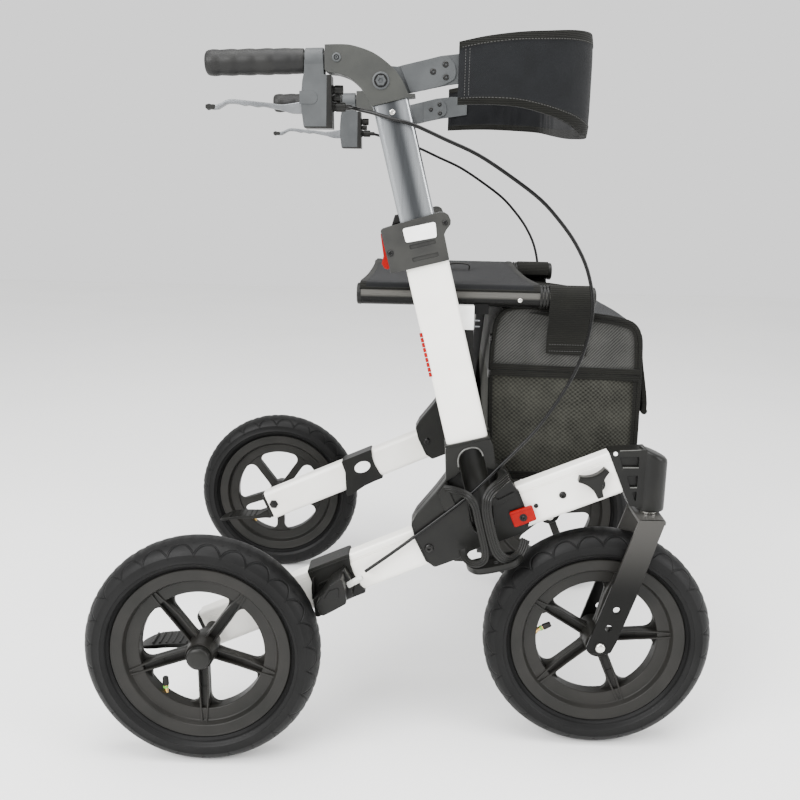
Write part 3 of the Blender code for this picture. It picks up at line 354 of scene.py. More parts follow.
# Plain polyamide cloth of seat, lid and backrest: close, matt and slightly bluish where it catches light;
# the seat's own is darker
SEAT_CLOTH = woven("seat_duck", "060607", "0F1012", 0.0024, "twill", 0.00015, 0.8)
CLOTH = woven("close_woven_polyamide", "08090A", "141517", 0.002, "twill", 0.00012, 0.7)
# Polypropylene webbing and binding tape: ribbed across, drawn at 2.6 mm between ribs
WEB = woven("polypropylene_webbing", "080807", "141411", 0.0026, "web", 0.0003, 0.78)
# Polyester sewing thread: dull, a little lighter than the cloth
THREAD = finish("polyester_thread", "272726", 0.7, IOR=1.5)
grained(THREAD, "232322", "2F2F2D", 0.004, 0.001, 0.00005, (0.6, 0.8))


# Shapes


def eased(points, radius, steps=3, closed=True):
    """The outline with each corner turned into an arc; radius is one number or one for each corner."""
    made = []
    count = len(points)
    for k in range(count):
        size = radius if isinstance(radius, float) else radius[k]
        here = Vector(points[k])
        if size <= 0 or (not closed and k in (0, count - 1)):
            made.append(tuple(here))
            continue
        back = Vector(points[k - 1]) - here
        ahead = Vector(points[(k + 1) % count]) - here
        turn = back.angle(ahead)
        if pi - turn < 0.05:
            made.append(tuple(here))
            continue
        reach = min(size / max(sin(turn / 2), 0.05) * cos(turn / 2), 0.45 * min(back.length, ahead.length))
        first = here + back.normalized() * reach
        last = here + ahead.normalized() * reach
        for n in range(steps + 1):
            t = n / steps
            made.append(tuple(first * (1 - t) ** 2 + here * 2 * t * (1 - t) + last * t**2))
    return made


def flowing(points, per=4, sharp=(), closed=True):
    """A smooth curve through the points, with a corner kept at each index in sharp."""
    count = len(points)
    spans = count if closed else count - 1
    sharp = set(sharp) if closed else set(sharp) | {0, count - 1}
    made = []
    for k in range(spans):
        a, b = Vector(points[k]), Vector(points[(k + 1) % count])
        before = a if k in sharp else Vector(points[k - 1])
        after = b if (k + 1) % count in sharp else Vector(points[(k + 2) % count])
        span = (b - a).length
        out = (b - before) * min(0.5, span / max((b - before).length, 1e-9))
        into = (after - a) * min(0.5, span / max((after - a).length, 1e-9))
        for n in range(per):
            t = n / per
            made.append(
                tuple(
                    a * (2 * t**3 - 3 * t**2 + 1)
                    + out * (t**3 - 2 * t**2 + t)
                    + b * (3 * t**2 - 2 * t**3)
                    + into * (t**3 - t**2)
                )
            )
    if not closed:
        made.append(tuple(Vector(points[-1])))
    return made


def circle(radius, middle=(0, 0), steps=24):
    turns = [2 * pi * k / steps for k in range(steps)]
    return [(middle[0] + radius * cos(a), middle[1] + radius * sin(a)) for a in turns]


def arc(middle, radius, first, last, step):
    """Points round the middle from one angle in degrees to short of another."""
    turns = [radians(a) for a in range(first, last, step)]
    return [(middle[0] + radius * cos(a), middle[1] + radius * sin(a)) for a in turns]


def plate(outline, low, high, matrix=SIDE, bevel=0.0006, segments=2, holes=(), turn=FLAT, angle=28):
    """An outline in x and z made solid in y from low to high, turned, placed and with its edges rounded."""
    bm = bmesh.new()
    rims = []
    for loop in (outline, *holes):
        ring = [bm.verts.new((x, low, z)) for x, z in loop]
        rims += [bm.edges.new((ring[k - 1], ring[k])) for k in range(len(ring))]
    if holes:
        bmesh.ops.triangle_fill(bm, edges=rims, use_beauty=True)
        spare = [e for e in bm.edges if e not in rims]
        bmesh.ops.dissolve_limit(bm, angle_limit=0.01, verts=bm.verts, edges=spare)
    else:
        bm.faces.new(ring)
    grown = bmesh.ops.extrude_face_region(bm, geom=bm.faces[:])["geom"]
    grown = [g for g in grown if isinstance(g, bmesh.types.BMVert)]
    bmesh.ops.translate(bm, vec=(0, high - low, 0), verts=grown)
    bmesh.ops.recalc_face_normals(bm, faces=bm.faces)
    if bevel:
        edges = [e for e in bm.edges if len(e.link_faces) == 2 and e.calc_face_angle(0) > radians(angle)]
        arris = {"offset": bevel, "segments": segments, "profile": 0.5, "affect": "EDGES", "material": -1}
        bmesh.ops.bevel(bm, geom=edges, clamp_overlap=True, **arris)
    bmesh.ops.transform(bm, matrix=matrix @ turn, verts=bm.verts)
    return bm


def turned(profile, matrix=FLAT, steps=48, closed=False, turn=FLAT):
    """A profile of (radius, height) points spun round local Z; turn then lays that axis where it belongs."""
    bm = bmesh.new()
    ring = [bm.verts.new((r, 0, h)) for r, h in profile]
    for a, b in zip(ring, ring[1:]):
        bm.edges.new((a, b))
    if closed:
        bm.edges.new((ring[-1], ring[0]))
    around = {"cent": (0, 0, 0), "axis": (0, 0, 1), "angle": 2 * pi, "steps": steps}
    bmesh.ops.spin(bm, geom=bm.verts[:] + bm.edges[:], use_merge=True, use_duplicate=False, **around)
    bmesh.ops.remove_doubles(bm, verts=bm.verts, dist=0.000002)
    bmesh.ops.recalc_face_normals(bm, faces=bm.faces)
    bmesh.ops.transform(bm, matrix=matrix @ turn, verts=bm.verts)
    return bm


def pin(radius, high, low):
    """Profile of a plain round bar between two heights."""
    return [(0, high), (radius, high), (radius, low), (0, low)]


def crosswise(profile, x, z, steps=48, closed=False):
    """A profile spun round the axis across the right side frame at (x, z), its heights outwards."""
    return turned(profile, Matrix.Translation((x, -FRAME_Y, z)), steps, closed, UPWARDS)


def along(points, radius, steps=10, matrix=FLAT, flat=1.0):
    """A round cord along a path; flat thins it towards the outside."""
    bm = bmesh.new()
    made = None
    count = len(points)
    for k in range(count):
        way = (Vector(points[min(k + 1, count - 1)]) - Vector(points[max(k - 1, 0)])).normalized()
        across = Vector((0, -1, 0)).cross(way).normalized()
        pose = Matrix((across, way.cross(across), way)).transposed().to_4x4()
        pose.translation = points[k]
        ends = k in (0, count - 1)
        ring = bmesh.ops.create_circle(bm, segments=steps, radius=radius, cap_ends=ends)["verts"]
        bmesh.ops.scale(bm, vec=(1, flat, 1), verts=ring)
        bmesh.ops.transform(bm, matrix=pose, verts=ring)
        edges = list({e for v in ring for e in v.link_edges})
        if made:
            bmesh.ops.bridge_loops(bm, edges=made + edges)
        made = edges
    bmesh.ops.recalc_face_normals(bm, faces=bm.faces)
    bmesh.ops.transform(bm, matrix=matrix, verts=bm.verts)
    return bm


def strip(path, thick):
    """Closed outline of a strip of that thickness whose one side follows the open path."""
    far = []
    count = len(path)
    for k in range(count):
        way = (Vector(path[min(k + 1, count - 1)]) - Vector(path[max(k - 1, 0)])).normalized()
        far.append((path[k][0] + way.y * thick, path[k][1] - way.x * thick))
    return list(path) + far[::-1]


def shrunk(loop, inset):
    """The closed loop drawn in by inset, its points still in order."""
    count = len(loop)
    area = sum(loop[k - 1][0] * loop[k][1] - loop[k][0] * loop[k - 1][1] for k in range(count))
    inset = inset if area > 0 else -inset
    made = []
    for k in range(count):
        way = (Vector(loop[(k + 1) % count]) - Vector(loop[k - 1])).normalized()
        made.append((loop[k][0] - way.y * inset, loop[k][1] + way.x * inset))
    return made


def at(frame_of, x, z):
    """Side-view point of a spot in a local frame."""
    spot = frame_of @ Vector((x, 0, z))
    return (spot.x, spot.z)


def joined(first, *others):
    for other in others:
        mesh = bpy.data.meshes.new("joined")
        other.to_mesh(mesh)
        other.free()
        first.from_mesh(mesh)
        bpy.data.meshes.remove(mesh)
    return first


def screw(radius, height, x, y, z, matrix=SIDE, key=0.5):
    """Domed screw head with a hexagon socket, facing outwards at local (x, y, z)."""
    hole = radius * key
    dome = [
        (0, height * 0.1), (hole, height * 0.1), (hole, height * 0.9), (hole * 1.12, height),
        (radius * 0.72, height * 0.96), (radius * 0.92, height * 0.66), (radius, height * 0.2),
        (radius, -0.0004),
    ]
    bm = turned(dome, steps=24)
    for vert in bm.verts:
        if hypot(vert.co.x, vert.co.y) < hole * 1.01:
            bend = (atan2(vert.co.y, vert.co.x) % (pi / 3)) - pi / 6
            vert.co.xy *= cos(pi / 6) / cos(bend)
    bmesh.ops.transform(bm, matrix=matrix @ Matrix.Translation((x, y, z)) @ UPWARDS, verts=bm.verts)
    return bm


def mirrored(bm):
    """The left-hand copy of a right-hand shape."""
    made = bm.copy()
    bmesh.ops.scale(made, vec=(1, -1, 1), verts=made.verts)
    bmesh.ops.reverse_faces(made, faces=made.faces)
    return made


def piece(name, bm, mat, body, slot=None, hides=(), sharp=40, even=True):
    """A finished piece: mesh in place, materials, body and the nodes that it stands for; slot is not used."""
    bmesh.ops.translate(bm, vec=(-CENTRE_X, 0, 0), verts=bm.verts)
    mesh = bpy.data.meshes.new(name)
    bm.to_mesh(mesh)
    bm.free()
    for each in mat if isinstance(mat, (list, tuple)) else [mat]:
        mesh.materials.append(each)
    mesh.shade_smooth()
    mesh.set_sharp_from_angle(angle=radians(sharp))
    made = bpy.data.objects.new(name, mesh)
    bpy.context.scene.collection.objects.link(made)
    if even:
        level = made.modifiers.new("even", "WEIGHTED_NORMAL")
        level.keep_sharp = True
    if body:
        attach(made, body)
    if hides:
        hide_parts(*hides)
    return made


def pair(name, bm, mat, body, slot=None, hides=(), **more):
    """The right-hand piece and its mirror image on the left; {} in a name is the side."""
    made = []
    for side in ("right", "left"):
        own = mirrored(bm) if side == "left" else bm.copy()
        gone = [node_name.format(side) for node_name in hides]
        made.append(piece(f"{name}_{side}", own, mat, body.format(side), slot, gone, **more))
    bm.free()
    return made


# Wheels


def at_wheel(x, y):
    """Local frame of a wheel: x and z in its plane, -y outwards."""
    return Matrix.Translation((x, -y, WHEEL_Z))


def tyre():
    """Tyre round the origin with its tread map: lugs round it, and metres from the tread's middle."""
    half = [
        (0.155, 0.0), (0.155, 0.0035), (0.1546, 0.0075), (0.1536, 0.0115), (0.152, 0.0155),
        (0.1497, 0.0195), (0.1468, 0.023), (0.1434, 0.0256), (0.1398, 0.0272), (0.1392, 0.0275),
        (0.1386, 0.0272), (0.135, 0.028), (0.1302, 0.0277), (0.1298, 0.028), (0.1291, 0.028),
        (0.1287, 0.0273), (0.1262, 0.0262), (0.124, 0.0245), (0.1237, 0.0248), (0.1229, 0.0241),
        (0.1228, 0.0234), (0.1212, 0.0215), (0.1198, 0.0196), (0.1196, 0.0199), (0.1187, 0.0192),
        (0.1186, 0.0184), (0.1172, 0.0172), (0.112, 0.016),
    ]
    reach = [0.0]
    for a, b in zip(half, half[1:]):
        reach.append(reach[-1] + hypot(b[0] - a[0], b[1] - a[1]))
    profile = [(r, -w) for r, w in reversed(half[1:])] + half
    bm = turned(profile, steps=LUGS * 8, closed=True)
    for vert in bm.verts:
        turn = round(atan2(vert.co.y, vert.co.x) / (2 * pi) * LUGS * 8) % 8
        if turn in (0, 5) and abs(vert.co.z) < 0.012:
            vert.co.xy *= 1 - 0.0009 / 0.155
    spread = bm.loops.layers.uv.new("tread")
    for face in bm.faces:
        middle = face.calc_center_median()
        middle = atan2(middle.y, middle.x)
        for loop in face.loops:
            x, y, z = loop.vert.co
            turn = (atan2(y, x) - middle + pi) % (2 * pi) - pi + middle
            spot = (hypot(x, y), abs(z))
            nearest = min(range(len(half)), key=lambda k: dist(half[k], spot))
            loop[spread].uv = (turn * LUGS / (2 * pi), reach[nearest])
    bmesh.ops.transform(bm, matrix=UPWARDS, verts=bm.verts)
    return bm


def spoked(points, phase):
    """Points of (way out, way across) on a spoke at that angle, in the wheel's plane."""
    a = radians(phase)
    return [(r * cos(a) - t * sin(a), r * sin(a) + t * cos(a)) for r, t in points]


# The ribs of a spoke run on over the dish of the rim, up to its flange, with the channel's floor between them
RIB = [(0.016, 0.0047), (0.016, 0.0071), (0.064, 0.0069), (0.064, 0.0045)]
BED = [(0.056, 0.005), (0.098, 0.0026), (0.098, -0.0026), (0.056, -0.005)]
RUN_UP = [
    (0.056, 0.0047), (0.056, 0.0071), (0.082, 0.0056), (0.1024, 0.0038), (0.1024, 0.0014), (0.082, 0.0032)
]


def climbing(bm, place):
    """Lifts a spoke's outer part from the disc of the spokes up to the flange, then puts it on the wheel."""
    for vert in bm.verts:
        share = min(max((hypot(vert.co.x, vert.co.z) - 0.062) / 0.038, 0), 1)
        if vert.co.y < 0:
            vert.co.y -= 0.0068 * share
    bmesh.ops.transform(bm, matrix=place, verts=bm.verts)
    return bm


def rim(place, phase, hub_out, hub_in):
    """Barrel, five channel spokes with flared feet, and hub."""
    barrel = [
        (0.1165, 0.0166), (0.1178, 0.0174), (0.118, 0.019), (0.1172, 0.0201), (0.1158, 0.0203),
        (0.115, 0.0197), (0.1036, 0.0191), (0.1026, 0.0189), (0.1018, 0.018), (0.0994, 0.0124),
        (0.0986, 0.0113), (0.0972, 0.0108), (0.084, 0.0098), (0.0829, 0.0093), (0.0823, 0.0082),
    ]
    barrel += [(r, -w) for r, w in reversed(barrel)] + [(0.107, -0.0155), (0.107, 0.0155)]
    bm = turned(barrel, place, steps=120, closed=True, turn=UPWARDS)
    foot = [
        (0.0145, 0.0088), (0.02, 0.008), (0.028, 0.0072), (0.066, 0.0072), (0.0708, 0.0079), (0.0748, 0.01),
        (0.0776, 0.0132), (0.079, 0.0168), (0.0794, 0.0214), (0.0818, 0.0218), (0.0836, 0.011),
    ]
    foot += [(0.0845, 0.0)] + [(r, -t) for r, t in reversed(foot)]
    for k in range(5):
        turn = phase + 72 * k
        joined(bm, plate(spoked(foot, turn), 0.0005, 0.0072, place, 0.0008, 3))
        for side in (1, -1):
            rib = spoked([(r, side * t) for r, t in RIB], turn)
            joined(bm, plate(rib, -0.0072, 0.0012, place, 0.0006, 2))
            run = spoked([(r, side * t) for r, t in RUN_UP], turn)
            joined(bm, climbing(plate(run, -0.0072, 0.0012, FLAT, 0.0006, 2), place))
        joined(bm, climbing(plate(spoked(BED, turn), -0.0002, 0.0012, FLAT, 0.0), place))
    hub = [
        (0.0064, hub_out - 0.001), (0.0165, hub_out - 0.001), (0.0175, hub_out), (0.0184, hub_out - 0.0012),
        (0.019, 0.0072), (0.0205, 0.005), (0.0205, -0.005), (0.019, -0.0072), (0.0184, -hub_in + 0.0012),
        (0.0175, -hub_in), (0.0064, -hub_in),
    ]
    return joined(bm, turned(hub, place, steps=48, closed=True, turn=UPWARDS))


def valve(start, end, place):
    """Stem from the rim bed with its collar, green ring and black cap, as three solids."""
    a, b = Vector((start[0], 0, start[1])), Vector((end[0], 0, end[1]))
    way = (b - a).normalized()
    pose = place @ Matrix.Translation(a) @ way.to_track_quat("Z", "Y").to_matrix().to_4x4()
    length = (b - a).length
    stem = [
        (0, 0), (0.0046, 0), (0.0046, 0.006), (0.003, 0.008), (0.003, length - 0.004), (0, length - 0.004)
    ]
    ring = [
        (0.0031, length - 0.015), (0.0037, length - 0.0148), (0.0037, length - 0.0122),
        (0.0031, length - 0.012),
    ]
    cap = [
        (0, length + 0.001), (0.003, length + 0.0008), (0.0039, length - 0.0004), (0.0044, length - 0.0092),
        (0.0042, length - 0.0106), (0.0034, length - 0.011),
    ]
    return turned(stem, pose, 24), turned(ring, pose, 24, closed=True), turned(cap, pose, 16)


# Painted highlights on the rounded outer edges of the mouldings: a lighter polyamide drawn as fine bright
# lines
PAINTED_HIGHLIGHT = finish("painted_highlight_polyamide", "4A4A48", 0.25)
grained(PAINTED_HIGHLIGHT, "434341", "52524F", 0.01, 0.001, 0.00002, (0.2, 0.3))

# Green polyethylene of the valve rings: a small flat spot of colour
GREEN = finish("green_polyethylene", "5DA23A", 0.45, IOR=1.5)
grained(GREEN, "559636", "66AC42", 0.004, 0.0009, 0.00002, (0.4, 0.5))

TYRE = tyre()
for end, x, y, phase, hub, ends in (
    ("rear", 0.0, REAR_Y, -17, (0.0252, 0.022), ((-0.0513, -0.0759), (-0.0517, -0.0444))),
    ("front", FRONT_X, FRAME_Y, 5, (0.029, 0.029), ((-0.087, 0.0015), (-0.0626, 0.0139))),
):
    place = at_wheel(x, y)
    body = end + "_wheel_{}"
    round_wheel = TYRE.copy()
    bmesh.ops.transform(round_wheel, matrix=place, verts=round_wheel.verts)
    pair(f"{end}_tyre", round_wheel, RUBBER, body, "tyre_rubber", [f"tyre_{end}_{{}}"], sharp=55, even=False)
    pair(f"{end}_rim", rim(place, phase, *hub), RIM, body, "rim_black", [f"rim_{end}_{{}}"])
    stem, ring, cap = valve(*ends, place)
    pair(f"{end}_valve_stem", stem, BRASS, body)
    pair(f"{end}_valve_ring", ring, GREEN, body)
    pair(f"{end}_valve_cap", cap, PLASTIC, body)

shaft = [
    (0, 0.0356), (0.007, 0.0355), (0.0108, 0.035), (0.0138, 0.0338), (0.0153, 0.0318), (0.0156, 0.029),
    (0.0156, 0.0258), (0.006, 0.0256), (0.006, -0.0224), (0.0098, -0.0224), (0.01, -0.023), (0.01, -0.0576),
    (0.0098, -0.0582), (0.006, -0.0582), (0.006, -0.0862), (0, -0.0862),
]
shaft = turned(shaft, at_wheel(0, REAR_Y), turn=UPWARDS)
pair("rear_axle_shaft", shaft, PLASTIC, "frame_{}", "black_plastic", ["rear_axle_{}"])
nut = [(0, -0.0905), (0.0078, -0.09), (0.0088, -0.0885), (0.009, -0.0862), (0, -0.0862)]
pair("rear_axle_nut", turned(nut, at_wheel(0, REAR_Y), 6, turn=UPWARDS), BLACK_STEEL, "frame_{}")
dome = [(0, 0.019), (0.0042, 0.0186), (0.007, 0.0172), (0.0084, 0.014)]
pair("rear_axle_button", crosswise(dome, 0, WHEEL_Z, 24), BLACK_STEEL, "frame_{}")


# Forks


BLADE = [
    (0.5655, 0.3348), (0.6, 0.3348), (0.5915, 0.306), (0.5715, 0.2346), (0.5471, 0.1611), (0.5406, 0.1466),
    (0.5333, 0.144), (0.5144, 0.145), (0.5074, 0.1516), (0.5404, 0.2555), (0.5612, 0.3205),
]
spare = [circle(0.0046, (0.5445, 0.2085), 20), circle(0.0046, (0.5356, 0.1824), 20)]
blade = eased(BLADE, [0.002, 0.002, 0.02, 0.02, 0.02, 0.004, 0.003, 0.003, 0.004, 0.02, 0.02], 4)
fork = bmesh.new()
for low in (-0.038, 0.033):
    joined(fork, plate(blade, low, low + 0.005, SIDE, 0.0012, 3, holes=spare))
crown = [(0.5655, 0.3288), (0.6, 0.3288), (0.6, 0.3348), (0.5655, 0.3348)]
joined(fork, plate(crown, -0.0378, 0.0378, SIDE, 0.0012, 3))
pair("fork_bridge", fork, FORK, "fork_{}", "fork_black", ["fork_{}"])
washer = [(0.0062, 0.0), (0.0116, 0.0), (0.012, 0.0006), (0.012, 0.0036), (0.0116, 0.0042), (0.0062, 0.0042)]
washer = turned(washer, Matrix.Translation((SWIVEL_X, -FRAME_Y, 0.3348)), closed=True)
pair("fork_washer", washer, STEEL, "fork_{}")
bolt = [
    (0, 0.0425), (0.004, 0.0424), (0.0058, 0.0416), (0.0068, 0.04), (0.0068, 0.0382), (0.005, 0.038),
    (0.005, -0.038), (0.0068, -0.0382), (0.0068, -0.0416), (0, -0.0425),
]
bolt = crosswise(bolt, FRONT_X, WHEEL_Z)
for low, high in ((0.0292, 0.0328), (-0.0328, -0.0292)):
    spacer = [(0.0053, low), (0.009, low), (0.009, high), (0.0053, high)]
    joined(bolt, crosswise(spacer, FRONT_X, WHEEL_Z, closed=True))
pair("front_axle_bolt", bolt, STEEL, "fork_{}")

barrel = [
    (0, 0.419), (0.012, 0.4188), (0.0165, 0.418), (0.0188, 0.4158), (0.0195, 0.412), (0.0195, 0.343),
    (0.019, 0.3402), (0.0178, 0.3394), (0.0064, 0.3394), (0.0064, 0.4), (0, 0.4),
]
head = turned(barrel, Matrix.Translation((SWIVEL_X, -FRAME_Y, 0)))
for vert in head.verts:
    if vert.co.z > 0.405:
        vert.co.z -= (vert.co.x - SWIVEL_X) * 0.4
LEG_END = 0.2078
web = [
    at(LEG, LEG_END, 0.03), (0.542, 0.4215), (0.56, 0.4225), (0.574, 0.424), (0.574, 0.3445),
    (0.556, 0.347), at(LEG, LEG_END, -0.03),
]
joined(head, plate(web, -0.0105, 0.0105, SIDE, 0.0))
WINDOWS = [
    [(0.5375, 0.4134), (0.564, 0.4142), (0.564, 0.3999), (0.5436, 0.3994)],
    [(0.5488, 0.3884), (0.564, 0.3888), (0.564, 0.3726), (0.5549, 0.3724)],
    [(0.5575, 0.3664), (0.564, 0.3666), (0.564, 0.35)],
]
for low_side, high_side in ((-0.015, -0.01), (0.01, 0.015)):
    windows = [eased(w, 0.0015) for w in WINDOWS]
    joined(head, plate(web, low_side, high_side, SIDE, 0.001, 2, holes=windows))
section = eased([(-0.0115, -0.0275), (0.0115, -0.0275), (0.0115, 0.0275), (-0.0115, 0.0275)], 0.006)
joined(head, plate(section, LEG_END - 0.04, LEG_END + 0.001, LEG, 0.0, turn=LENGTHWISE))
# Painted highlights: light cords along the lower ledges of two windows and the upper edge of the fork head
ledges = bmesh.new()
for window in WINDOWS[:2]:
    joined(ledges, along([(x, -0.0149, z - 0.0003) for x, z in window[2:]], 0.0009, 8, SIDE))
upper_edge = [(0.5385, -0.014, 0.4212), (0.556, -0.014, 0.4222), (0.566, -0.014, 0.423)]
joined(ledges, along(upper_edge, 0.0009, 8, SIDE))
pair("fork_head_edges", ledges, PAINTED_HIGHLIGHT, "frame_{}")
rivet = [(0, 0.0024), (0.0022, 0.0022), (0.0028, 0.001), (0.0028, 0), (0, 0)]
rivet = turned(rivet, LEG @ Matrix.Translation((0.215, -0.0146, 0.0255)), 20, turn=UPWARDS)
pair("fork_head_rivet", rivet, WHITE_PLASTIC, "frame_{}")
pair("fork_head_casting", head, PLASTIC, "frame_{}", "black_plastic", ["fork_head_{}"])


# Frame tubes


def tube(wide, deep, radius, low, high, matrix, turn, wall=0.002, grooves=()):
    """Rounded rectangular tube, open at its ends. Each groove is a height on its outer face."""
    x, z = wide / 2, deep / 2
    marks = [(-x, -z), (x, -z)]
    for middle in sorted(grooves):
        marks += [(x, middle - 0.0007), (x - 0.0008, middle - 0.0004)]
        marks += [(x - 0.0008, middle + 0.0004), (x, middle + 0.0007)]
    marks += [(x, z), (-x, z)]
    outline = eased(marks, [radius] * 2 + [0.0] * (len(marks) - 4) + [radius] * 2, 6)
    inner = [(wall - x, wall - z), (x - wall, wall - z), (x - wall, z - wall), (wall - x, z - wall)]
    return plate(outline, low, high, matrix, 0.0, holes=[eased(inner, radius - wall, 4)], turn=turn)


front = tube(0.028, 0.06, 0.009, 0.062, 0.2075, LEG, LENGTHWISE, grooves=(0.0185, 0.0208))
pair("front_leg_tube", front, WHITE, "frame_{}", "frame_white", ["front_leg_{}"], sharp=50)
rear = tube(0.028, 0.0555, 0.009, -0.387, -0.05, REAR_LEG, LENGTHWISE, grooves=(0.0166, 0.0189))
pair("rear_leg_tube", rear, WHITE, "frame_{}", "frame_white", ["rear_leg_{}"], sharp=50)

cradle = arc((RAIL_Y, RAIL_Z), 0.0156, -142, -37, 8)
saddle = [(0.248, 0.5818), (0.2042, 0.5818), (0.2042, 0.6034), *cradle, (0.248, 0.6034)]
post = tube(0.055, 0.03, 0.0085, -0.034, 0.24, UPRIGHT, UPWARDS)
pair("upright_tube", post, WHITE, "frame_{}", "frame_white", ["upright_{}"], sharp=50)
box = plate(saddle, 0.2852, 0.3062, FLAT, 0.0012, 2, turn=LENGTHWISE)
pair("rail_saddle", box, WHITE_PLASTIC, "frame_{}")
slider = tube(0.045, 0.022, 0.007, 0.095, 0.4075, UPRIGHT, UPWARDS)
pair("height_tube_skin", slider, PAINTED_REFLECTION_SILVER, "handle_{}", "anodised_aluminium", ["height_tube_{}"], sharp=50)

# Red dashes of the height scale on the rear corner of the upright, screws of the legs and of the height tube
marks = bmesh.new()
for k in range(9):
    w = 0.0661 + k * 0.0066
    dash = [(-0.0294, w), (-0.0256, w), (-0.0256, w + 0.0052), (-0.0294, w + 0.0052)]
    joined(marks, plate(dash, -0.0136, -0.0098, UPRIGHT, 0.0004, 1))
pair("height_scale", marks, RED, "frame_{}")
buttons = joined(
    screw(0.005, 0.0024, 0.1322, -0.014, -0.0027, LEG),
    screw(0.0032, 0.0016, 0.0945, -0.014, -0.004, LEG),
    screw(0.0024, 0.0012, -0.2707, -0.014, -0.0016, REAR_LEG),
)
pair("leg_screws", buttons, BLACK_STEEL, "frame_{}")
pair("height_tube_screw", screw(0.0036, 0.0014, -0.0005, -0.0112, 0.3962, UPRIGHT), STEEL, "handle_{}")


# Lower joint, cane holder, collar

ALONG_BAR = Matrix.Rotation(-pi / 2, 4, "Y")
CAST_HALF = 0.019

JOINT = [
    at(UPRIGHT, -0.0298, -0.029), at(UPRIGHT, 0.0298, -0.029), (0.3732, 0.425), (0.378, 0.398),
    (0.3905, 0.393), at(LEG, 0.077, 0.0328), at(LEG, 0.0805, 0.025), at(LEG, 0.0805, -0.018),
    at(LEG, 0.074, -0.0285), at(LEG, 0.06, -0.0328), at(LEG, 0.03, -0.0325), at(LEG, 0.006, -0.031),
    at(LEG, -0.01, -0.031), at(LEG, -0.016, -0.035), at(LEG, -0.048, -0.0352), at(LEG, -0.062, -0.0352),
    at(LEG, -0.0697, -0.022), at(LEG, -0.0717, 0.0123), at(LEG, -0.069, 0.0328), (0.2755, 0.3275),
    (0.3, 0.359), (0.313, 0.3775),
]
body = eased(JOINT, 0.006, 4)
casting = plate(body, -0.0015, CAST_HALF, SIDE, 0.0022, 3)
RECESS = [
    (0.3324, 0.3897), (0.329, 0.395), (0.328, 0.4032), (0.3297, 0.4114), (0.3347, 0.4176), (0.3405, 0.4205),
    (0.3469, 0.422), (0.3535, 0.4208), (0.3582, 0.4162), (0.3619, 0.4055), (0.3655, 0.395), (0.373, 0.3925),
    (0.3795, 0.389), (0.3808, 0.3838), (0.378, 0.376), (0.3754, 0.3622), (0.3755, 0.3442), (0.3784, 0.3234),
    (0.38, 0.312), (0.3556, 0.305), (0.3524, 0.309), (0.3473, 0.3225), (0.3439, 0.3432), (0.3388, 0.3569),
    (0.3188, 0.3653), (0.3146, 0.3741), (0.3249, 0.3813),
]
channel = flowing(RECESS, 2, sharp=(0, 18, 19))
joined(casting, plate(body, -CAST_HALF, -0.0012, SIDE, 0.0018, 3, holes=[channel]))
trough = [(0.0166 * cos(radians(a)), CAST_HALF + 0.0174 * sin(radians(a))) for a in range(180, 361, 12)]
joined(casting, plate(strip(trough, 0.001), -0.136, -0.037, UPRIGHT, 0.0, turn=UPWARDS))
# Painted highlight: a thin light cord along the arch of the recess
hood = flowing(RECESS[1:9] + [(0.3604, 0.4109)], 4, closed=False)
hood = along([(x, -0.0192, z) for x, z in hood], 0.0011, 8, SIDE)
pair("joint_arch_rim", hood, PAINTED_HIGHLIGHT, "frame_{}")
shield = [
    (0.3032, 0.3586), (0.3133, 0.3741), (0.3176, 0.3632), (0.326, 0.3455), (0.3262, 0.3399),
    (0.3172, 0.3341), (0.3125, 0.3347),
]
joined(casting, plate(eased(shield, 0.003), -0.0222, -0.018, SIDE, 0.0009, 2))
for ridge in (
    [at(LEG, 0.077, 0.03), at(LEG, 0.0805, 0.025), at(LEG, 0.0805, -0.018), at(LEG, 0.074, -0.027)],
    [at(LEG, -0.067, -0.026), at(LEG, -0.0697, -0.022), at(LEG, -0.0717, 0.0123), at(LEG, -0.069, 0.03)],
    [at(UPRIGHT, 0.03, -0.0298), at(UPRIGHT, -0.03, -0.0298)],
):
    joined(casting, plate(strip(ridge, 0.003), -0.0197, 0.0197, SIDE, 0.0008, 2))
wedge = [
    at(LEG, 0.04, 0.02), at(LEG, 0.047, 0.031), at(LEG, 0.051, 0.024), at(LEG, 0.074, 0.0268),
    at(LEG, 0.074, 0.0225), at(LEG, 0.05, 0.017),
]
joined(casting, plate(eased(wedge, 0.0015), -0.0212, -0.018, SIDE, 0.0012, 2))
bracket = [(0.328, 0.255), (0.345, 0.255), (0.345, 0.285), (0.328, 0.285)]
bracket = plate(bracket, 0.001, 0.053, SIDE, 0.0015, 2)
joined(casting, bracket)
hinge = [(0, 0.038), (0.004, 0.0378), (0.004, 0), (0, 0)]
hinge = turned(hinge, Matrix.Translation((0.34, -HINGE_Y, HINGE_Z)), 24, turn=FORWARDS)
pair("lower_joint_casting", casting, PLASTIC, "frame_{}", "black_plastic", ["lower_joint_{}"])
pair("brace_hinge_pin", hinge, STEEL, "frame_{}")
inwards = LEG @ Matrix.Rotation(pi, 4, "Z") @ Matrix.Translation((0.1156, 0, 0))
screws = joined(
    screw(0.0062, 0.003, 0.2935, -CAST_HALF, 0.2811, key=0.4),
    screw(0.0062, 0.003, -0.0578, -CAST_HALF, 0.002, inwards, key=0.4),
)
pair("joint_screw", screws, BLACK_STEEL, "frame_{}")

